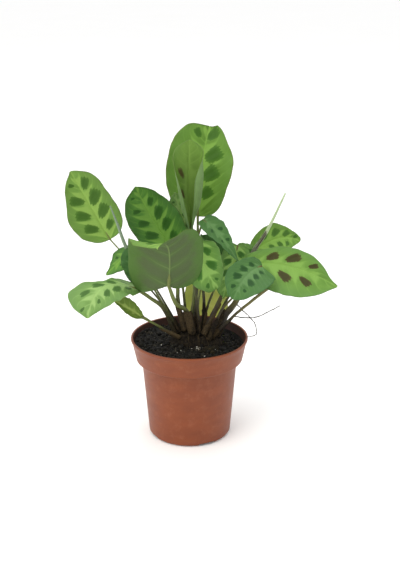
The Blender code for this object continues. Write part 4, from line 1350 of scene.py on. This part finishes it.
@dataclass
class NurseryPot:
    """The 12 cm nursery pot: a thin moulded shell with a deep rolled band and four slots in its foot."""

    rim: float = 60.0
    height: float = 105.0
    foot: float = 42.5
    neck: float = 49.0
    band_low: float = 55.0
    band_height: float = 23.0
    wall: float = 1.3
    floor: float = 1.6
    segments: int = 160
    notches: int = 4
    notch_size: tuple[float, float, float] = (18.0, 18.0, 4.8)
    first_angle: float = -64.5

    def outside(self) -> list[tuple[float, float]]:
        """Draw the outer profile.

        Returns:
            (radius, height) points from the lip down to the rounded foot.
        """
        low = self.height - self.band_height
        lip = [(self.rim - 0.55 + 0.55 * math.cos(turn), self.height - 0.6 + 0.6 * math.sin(turn))
               for turn in np.radians((90.0, 60.0, 30.0, 0.0))]
        band = [(self.rim, self.height - 1.9), (self.rim - 0.3, self.height - 2.3),
                (self.rim - 1.0, self.height - 2.7)]
        band += [(self.rim - 1.0 - (self.rim - 1.0 - self.band_low) * t, self.height - 2.7 - 19.0 * t)
                 for t in (0.25, 0.5, 0.75, 1.0)]
        band += [(self.band_low - 0.1, low + 0.6), (self.band_low - 0.5, low + 0.15),
                 (self.band_low - 1.1, low - 0.1), (self.band_low - 3.2, low - 0.5),
                 (self.neck + 0.9, low - 1.0), (self.neck + 0.2, low - 1.6), (self.neck, low - 2.4)]
        slope = (self.neck - self.foot - 0.2) / (low - 5.4)
        wall = [(self.neck - slope * drop, low - 2.4 - drop) for drop in (8.0, 20.0, 34.0, 48.0, 62.0, 72.0)]
        foot = [(self.foot - 2.8 + 3.0 * math.cos(turn), 3.0 - 3.0 * math.sin(turn))
                for turn in np.radians((0.0, 18.0, 36.0, 54.0, 72.0, 90.0))]
        return lip + band + wall + foot

    def inside(self) -> list[tuple[float, float]]:
        """Draw the inner profile.

        Returns:
            (radius, height) points from the floor up to the lip.
        """
        low = self.height - self.band_height
        return [(self.foot - self.wall - 0.8, self.floor), (self.foot - self.wall - 0.2, self.floor + 0.4),
                (self.foot - self.wall + 0.2, self.floor + 1.2), (self.neck - self.wall, low),
                (self.neck - self.wall + 0.6, low + 0.7), (self.band_low - self.wall - 0.6, low + 1.3),
                (self.band_low - self.wall, low + 2.0), (self.rim - 2.3, self.height - 0.8),
                (self.rim - 2.1, self.height - 0.3), (self.rim - 1.7, self.height)]

    def cutter(self, angle: float) -> Object:
        """Make the block that cuts one slot.

        Args:
            angle: Where it stands round the pot.

        Returns:
            The block.
        """
        shape = bmesh.new()
        bmesh.ops.create_cube(shape, size=1.0)
        bmesh.ops.scale(shape, vec=[size * MM for size in self.notch_size], verts=shape.verts)
        mesh = bpy.data.meshes.new("slot_block")
        shape.to_mesh(mesh)
        shape.free()
        block = bpy.data.objects.new("slot_block", mesh)
        bpy.context.scene.collection.objects.link(block)
        block.location = Vector((math.cos(angle), math.sin(angle), 0.0)) * self.foot * MM
        block.rotation_euler = (0.0, 0.0, angle)
        return block

    def build(self) -> None:
        """Build and dress the pot, and cut its slots."""
        profile = [(0.0, self.floor)] + self.inside() + self.outside() + [(0.0, 0.0)]
        points, faces = lathe(np.array(profile), self.segments)
        heights = points[:, 2]
        radius = np.hypot(points[:, 0], points[:, 1])
        middles = np.array([[radius[list(face)].mean(), heights[list(face)].mean()] for face in faces])
        inner = np.interp(middles[:, 1], [h for _, h in self.inside()], [r for r, _ in self.inside()])
        # Inner faces take the darker inside finish: peat stain plus painted shade of the pot's hollow.
        inside_stain_and_shade = (middles[:, 0] < inner + 0.25) & (middles[:, 1] > self.floor - 0.1) \
            & (middles[:, 1] < self.height - 0.2)
        pot = new_piece("moulded_pot", points, faces, (TERRACOTTA, STAINED_AND_SHADED),
                        "pot", None, inside_stain_and_shade.astype(np.int32))
        for number in range(self.notches):
            block = self.cutter(math.radians(self.first_angle) + TAU / self.notches * number)
            cut = pot.modifiers.new("slot", "BOOLEAN")
            cut.operation, cut.solver, cut.object = "DIFFERENCE", "EXACT", block
            graph = bpy.context.evaluated_depsgraph_get()
            mesh = bpy.data.meshes.new_from_object(pot.evaluated_get(graph))
            pot.modifiers.clear()
            pot.data = mesh
            bpy.data.objects.remove(block, do_unlink=True)


@dataclass
class PeatBed:
    """Wet dark peat: a heaped bed with crumbs, fibres, a few perlite grains and one mossy lump."""

    rings: int = 64
    segments: int = 176
    crumbs: int = 1500
    fibres: int = 210
    edge: float = 55.9
    draw: RandomState = field(default_factory=lambda: RandomState(7))

    def height(self, x: float, y: float) -> float:
        """Find the crumbly surface.

        Args:
            x: Place to the right, in millimetres.
            y: Place to the back, in millimetres.

        Returns:
            Its height there in millimetres.
        """
        rough = noise.fractal(Vector((x, y, 3.0)) * 0.22, 0.8, 2.1, 4)
        fine = noise.noise(Vector((x, y, 9.0)) * 1.1)
        return peat_top(x, y) + 1.3 * rough + 0.5 * fine

    def bed(self) -> None:
        """Build and dress the bed itself."""
        # The sides keep just off the pot's inside: its band, its neck and its floor.
        wall = [(self.edge - 0.2, 96.6), (53.2, 84.3), (47.3, 81.9), (41.1, 3.1), (40.1, 1.9)]
        radii = np.linspace(1.0, 0.0, self.rings, endpoint=False) * self.edge
        profile = np.array([(0.0, 99.0)] + [(radius, 98.0) for radius in radii[::-1]] + wall + [(0.0, 1.9)])
        points, faces = lathe(profile, self.segments)
        for point in points:
            if point[2] > 97.0:
                point[2] = max(self.height(point[0], point[1]), 93.0)
        new_piece("peat_bed", points, faces, (WET_PEAT,), "peat",
                  {"tone": np.full(len(points), 0.35)})

    def scatter(self, count: int) -> np.ndarray:
        """Draw places on the bed.

        Args:
            count: How many.

        Returns:
            Their x and y in millimetres.
        """
        reach = (self.edge - 1.5) * np.sqrt(self.draw.rand(count))
        turn = self.draw.rand(count) * TAU
        return np.stack([reach * np.cos(turn), reach * np.sin(turn)], -1)

    def crumb_layer(self) -> None:
        """Build and dress the loose crumbs."""
        draw = self.draw
        ball, faces = lump_shape(2)
        heap = Heap()
        for x, y in self.scatter(self.crumbs):
            size = 0.5 + 1.5 * draw.rand() ** 2.5
            shape = (ball * (1.0 + 0.5 * (draw.rand(len(ball), 1) - 0.5))) @ spin(draw)
            shape = shape * size * (0.8 + 0.5 * draw.rand(3))
            heap.take(shape + (x, y, self.height(x, y) + 0.2 * size), faces, float(draw.rand()))
        heap.piece("peat_crumbs", PEAT_CRUMB, Slot.PEAT)

    def perlite(self) -> None:
        """Build and dress the perlite grains, which lie mostly in front of the crown."""
        draw = self.draw
        ball, faces = lump_shape(2)
        heap = Heap()
        clusters = ((14.0, -18.0, 7.0, 20), (5.0, -15.0, 5.0, 5), (-8.0, -32.0, 6.0, 3), (0.0, 0.0, 52.0, 9))
        for x0, y0, spread, count in clusters:
            for _ in range(count):
                x, y = x0 + spread * (draw.rand() - 0.5) * 1.6, y0 + spread * (draw.rand() - 0.5) * 1.6
                size = 0.22 + 0.45 * draw.rand() ** 2
                shape = (ball * (1.0 + 0.6 * (draw.rand(len(ball), 1) - 0.5))) @ spin(draw) * size
                heap.take(shape + (x, y, self.height(x, y) + 0.8), faces, float(draw.rand()))
        heap.piece("perlite_grains", PERLITE, Slot.PEAT)

    def moss(self) -> None:
        """Build and dress the mossy lump."""
        ball, faces = lump_shape(3)
        heap = Heap()
        for x, y, size in ((20.0, -21.0, 5.0), (26.0, -17.0, 4.0), (15.5, -26.0, 3.8), (22.5, -27.0, 3.4),
                           (11.0, -29.0, 2.6)):
            knobs = np.array([noise.fractal(Vector(point) * 3.0 + Vector((x, y, 0.0)), 0.7, 2.0, 4)
                              for point in ball])
            shape = ball * (1.0 + 0.5 * knobs[:, None]) * size * (1.0, 1.0, 0.62)
            heap.take(shape + (x, y, self.height(x, y) + 0.4), faces, float(self.draw.rand()))
        heap.piece("mossy_lump", MOSSY, Slot.PEAT)

    def fibre_layer(self) -> None:
        """Build and dress the fibres and root hairs that lie on the bed."""
        draw = self.draw
        heap = Heap()
        tuft = np.array((14.0, -19.0)) + draw.normal(size=(40, 2)) * (6.0, 4.5)
        for number, (x, y) in enumerate(np.concatenate([tuft, self.scatter(self.fibres)])):
            heading, length, bend = draw.rand() * TAU, 3.0 + 8.0 * draw.rand(), draw.normal() * 0.25
            path = []
            for step in range(7):
                reach = math.hypot(x, y)
                if reach > self.edge - 2.0:
                    x, y = x * (self.edge - 2.0) / reach, y * (self.edge - 2.0) / reach
                path.append((x, y, self.height(x, y) + 0.5 + 0.8 * math.sin(step * 0.5) * draw.rand()))
                heading += bend + 0.3 * draw.normal()
                x, y = x + math.cos(heading) * length / 6.0, y + math.sin(heading) * length / 6.0
            thick = 0.12 + 0.16 * draw.rand()
            points, faces, _ = tube(np.array(path), np.linspace(thick, 0.06, 7), 5)
            heap.take(points, faces, float(draw.rand()) if number < len(tuft) else 0.4 * float(draw.rand()))
        heap.piece("peat_fibres", FIBRE, Slot.PEAT)

    def build(self) -> None:
        """Build and dress the bed and what lies on it."""
        self.bed()
        self.crumb_layer()
        self.perlite()
        self.moss()
        self.fibre_layer()


@dataclass
class Crown:
    """The knot that the stalks come from: short woody rhizome under torn, dry leaf sheaths."""

    draw: RandomState = field(default_factory=lambda: RandomState(21))

    def mound(self) -> None:
        """Build and dress the rhizome mound."""
        ball, faces = lump_shape(5)
        points = []
        for east, north, rise in ball:
            x = CROWN_CENTRE[0] + CROWN_RADII[0] * east
            y = CROWN_CENTRE[1] + CROWN_RADII[1] * north
            knobs = noise.fractal(Vector((x, y, rise * 9.0)) * 0.16, 0.7, 2.0, 4)
            lift = CROWN_RISE * max(rise, 0.0) * (0.78 + 0.4 * knobs)
            points.append((x, y, peat_top(x, y) - 0.6 + lift + min(rise, 0.0) * 0.8))
        new_piece("rhizome_mound", np.array(points), faces, (OLD_SHEATH,), "crown",
                  {"tone": np.full(len(points), 0.2)})

    def sheath(self, stalk: Stalk, number: int) -> tuple[np.ndarray, list]:
        """Shape one torn sheath that clasps a stalk's foot.

        Args:
            stalk: The stalk.
            number: Which of the stalk's sheaths it is.

        Returns:
            The vertices and faces.
        """
        draw = self.draw
        path = curve_through(stalk.route(), 10)
        reach = np.concatenate([[0.0], np.cumsum(np.linalg.norm(np.diff(path, axis=0), axis=1))])
        length = min((10.0 + 18.0 * draw.rand()) * (1.0 if number else 1.4), reach[-1] * 0.6)
        rows, columns = 14, 9
        steps = np.linspace(0.0, length, rows)
        middle = np.stack([np.interp(steps, reach, path[:, axis]) for axis in range(3)], -1)
        _, across, over = path_frames(middle)
        share = steps / length
        facing = draw.rand() * TAU
        width = math.radians(115.0) * (1.0 - share ** 2.2) + 0.12
        turn = facing + np.linspace(-1.0, 1.0, columns)[None, :] * width[:, None]
        radius = stalk.radii[0] * (1.14 + 0.16 * number) + 0.3 + 1.8 * share ** 3 * draw.rand() - 0.4 * share
        torn = 1.0 + 0.12 * draw.normal(size=(rows, columns)) * share[:, None]
        ring = (across[:, None] * np.cos(turn)[..., None] + over[:, None] * np.sin(turn)[..., None])
        outer = middle[:, None] + ring * (radius[:, None] * torn)[..., None]
        return closed_sheet(outer, outer - ring * 0.22)

    def sheaths(self) -> None:
        """Build and dress the torn sheaths."""
        heap = Heap()
        for stalk in STALKS:
            for number in range(2):
                points, faces = self.sheath(stalk, number)
                heap.take(points, faces, float(self.draw.rand()))
        heap.piece("torn_sheaths", OLD_SHEATH, Slot.CROWN)

    def root_hairs(self) -> None:
        """Build and dress the wiry roots that loop over the mound."""
        draw = self.draw
        heap = Heap()
        for _ in range(60):
            turn = draw.rand() * TAU
            x = CROWN_CENTRE[0] + CROWN_RADII[0] * 0.85 * math.cos(turn) * draw.rand() ** 0.4
            y = CROWN_CENTRE[1] + CROWN_RADII[1] * 0.9 * math.sin(turn) * draw.rand() ** 0.4
            heading = turn + 0.7 * draw.normal()
            path = []
            for step in range(9):
                path.append((x, y, crown_top(x, y) + 0.2 + 1.4 * math.sin(step * 0.7) * draw.rand()))
                heading += 0.35 * draw.normal()
                x, y = x + 1.6 * math.cos(heading), y + 1.6 * math.sin(heading)
            thick = 0.14 + 0.3 * draw.rand()
            points, faces, _ = tube(np.array(path), np.linspace(thick, 0.1, 9), 6)
            heap.take(points, faces, float(draw.rand()) ** 3)
        heap.piece("crown_roots", OLD_SHEATH, Slot.CROWN)

    def build(self) -> None:
        """Build and dress the mound and what grows on it."""
        self.mound()
        self.sheaths()
        self.root_hairs()


# ---- Studio ----


@dataclass
class Studio:
    """Pale floor, soft lights and the camera."""

    eye: tuple[float, float, float] = (0.0, -0.905, 0.481)
    pitch: float = -19.5
    yaw: float = -0.69
    lens: float = 60.13
    sky_low: float = 0.74
    sky_high: float = 1.16
    aim: tuple[float, float, float] = (0.0, 0.0, 0.16)

    def floor(self) -> None:
        """Lay the floor."""
        mesh = bpy.data.meshes.new("floor")
        angles = np.arange(96) * TAU / 96
        points = [(14.0 * math.cos(a), 14.0 * math.sin(a), -0.0005) for a in angles]
        mesh.from_pydata(points, [], [tuple(range(96))])
        ground = bpy.data.objects.new("floor", mesh)
        bpy.context.scene.collection.objects.link(ground)
        mesh.materials.append(dressed(MattFloor("matt_white_floor")))

    def lamp(self, name: str, place: tuple[float, float, float], size: float, power: float,
             colour: str = "#ffffff") -> None:
        """Hang a soft square lamp that looks at the plant.

        Args:
            name: Its name.
            place: Where it hangs, in metres.
            size: Its side in metres.
            power: Its power in watts.
            colour: Its colour.
        """
        light = bpy.data.lights.new(name, "AREA")
        light.size, light.energy = size, power
        light.color = linear(colour)[:3]
        lamp = bpy.data.objects.new(name, light)
        bpy.context.scene.collection.objects.link(lamp)
        lamp.location = place
        lamp.visible_camera = False
        lamp.rotation_euler = (Vector(self.aim) - Vector(place)).to_track_quat("-Z", "Y").to_euler()

    def camera(self) -> None:
        """Set up the camera."""
        lens = bpy.data.cameras.new("camera")
        lens.lens, lens.sensor_width = self.lens, 36.0
        lens.clip_start, lens.clip_end = 0.01, 60.0
        camera = bpy.data.objects.new("camera", lens)
        bpy.context.scene.collection.objects.link(camera)
        camera.location = self.eye
        camera.rotation_euler = (math.radians(90.0 + self.pitch), 0.0, math.radians(self.yaw))
        bpy.context.scene.camera = camera

    def build(self) -> None:
        """Set up the floor, the lights, the sky and the camera."""
        self.floor()
        self.lamp("key_lamp", (-1.1, -0.9, 1.6), 1.5, 22.0, "#fffaf2")
        self.lamp("fill_lamp", (1.3, -1.2, 0.9), 1.6, 2.5, "#f4f8ff")
        self.lamp("top_lamp", (0.1, 0.6, 1.9), 1.2, 8.0)
        world = bpy.data.worlds.new("sky")
        world.use_nodes = True
        tree = world.node_tree
        toward = add(tree, "TexCoord", out="Generated")
        height = add(tree, "SeparateXYZ", (toward,), out="Z")
        glow = add(tree, "MapRange", {0: height, 3: self.sky_low, 4: self.sky_high})
        tree.links.new(glow, tree.nodes["Background"].inputs["Strength"])
        tree.nodes["Background"].inputs["Color"].default_value = (1.0, 1.0, 1.0, 1.0)
        bpy.context.scene.world = world
        bpy.context.scene.view_settings.view_transform = "Standard"
        self.camera()


def main() -> None:
    """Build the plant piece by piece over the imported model."""
    logging.basicConfig(level=logging.INFO, format="%(name)s: %(message)s")
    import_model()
    Studio().build()
    NurseryPot().build()
    PeatBed().build()
    Crown().build()
    for blade in BLADES:
        blade.build()
    for grown in (*STALKS, *SPEARS, *ROOTS):
        grown.build()


if __name__ == "__main__":
    main()
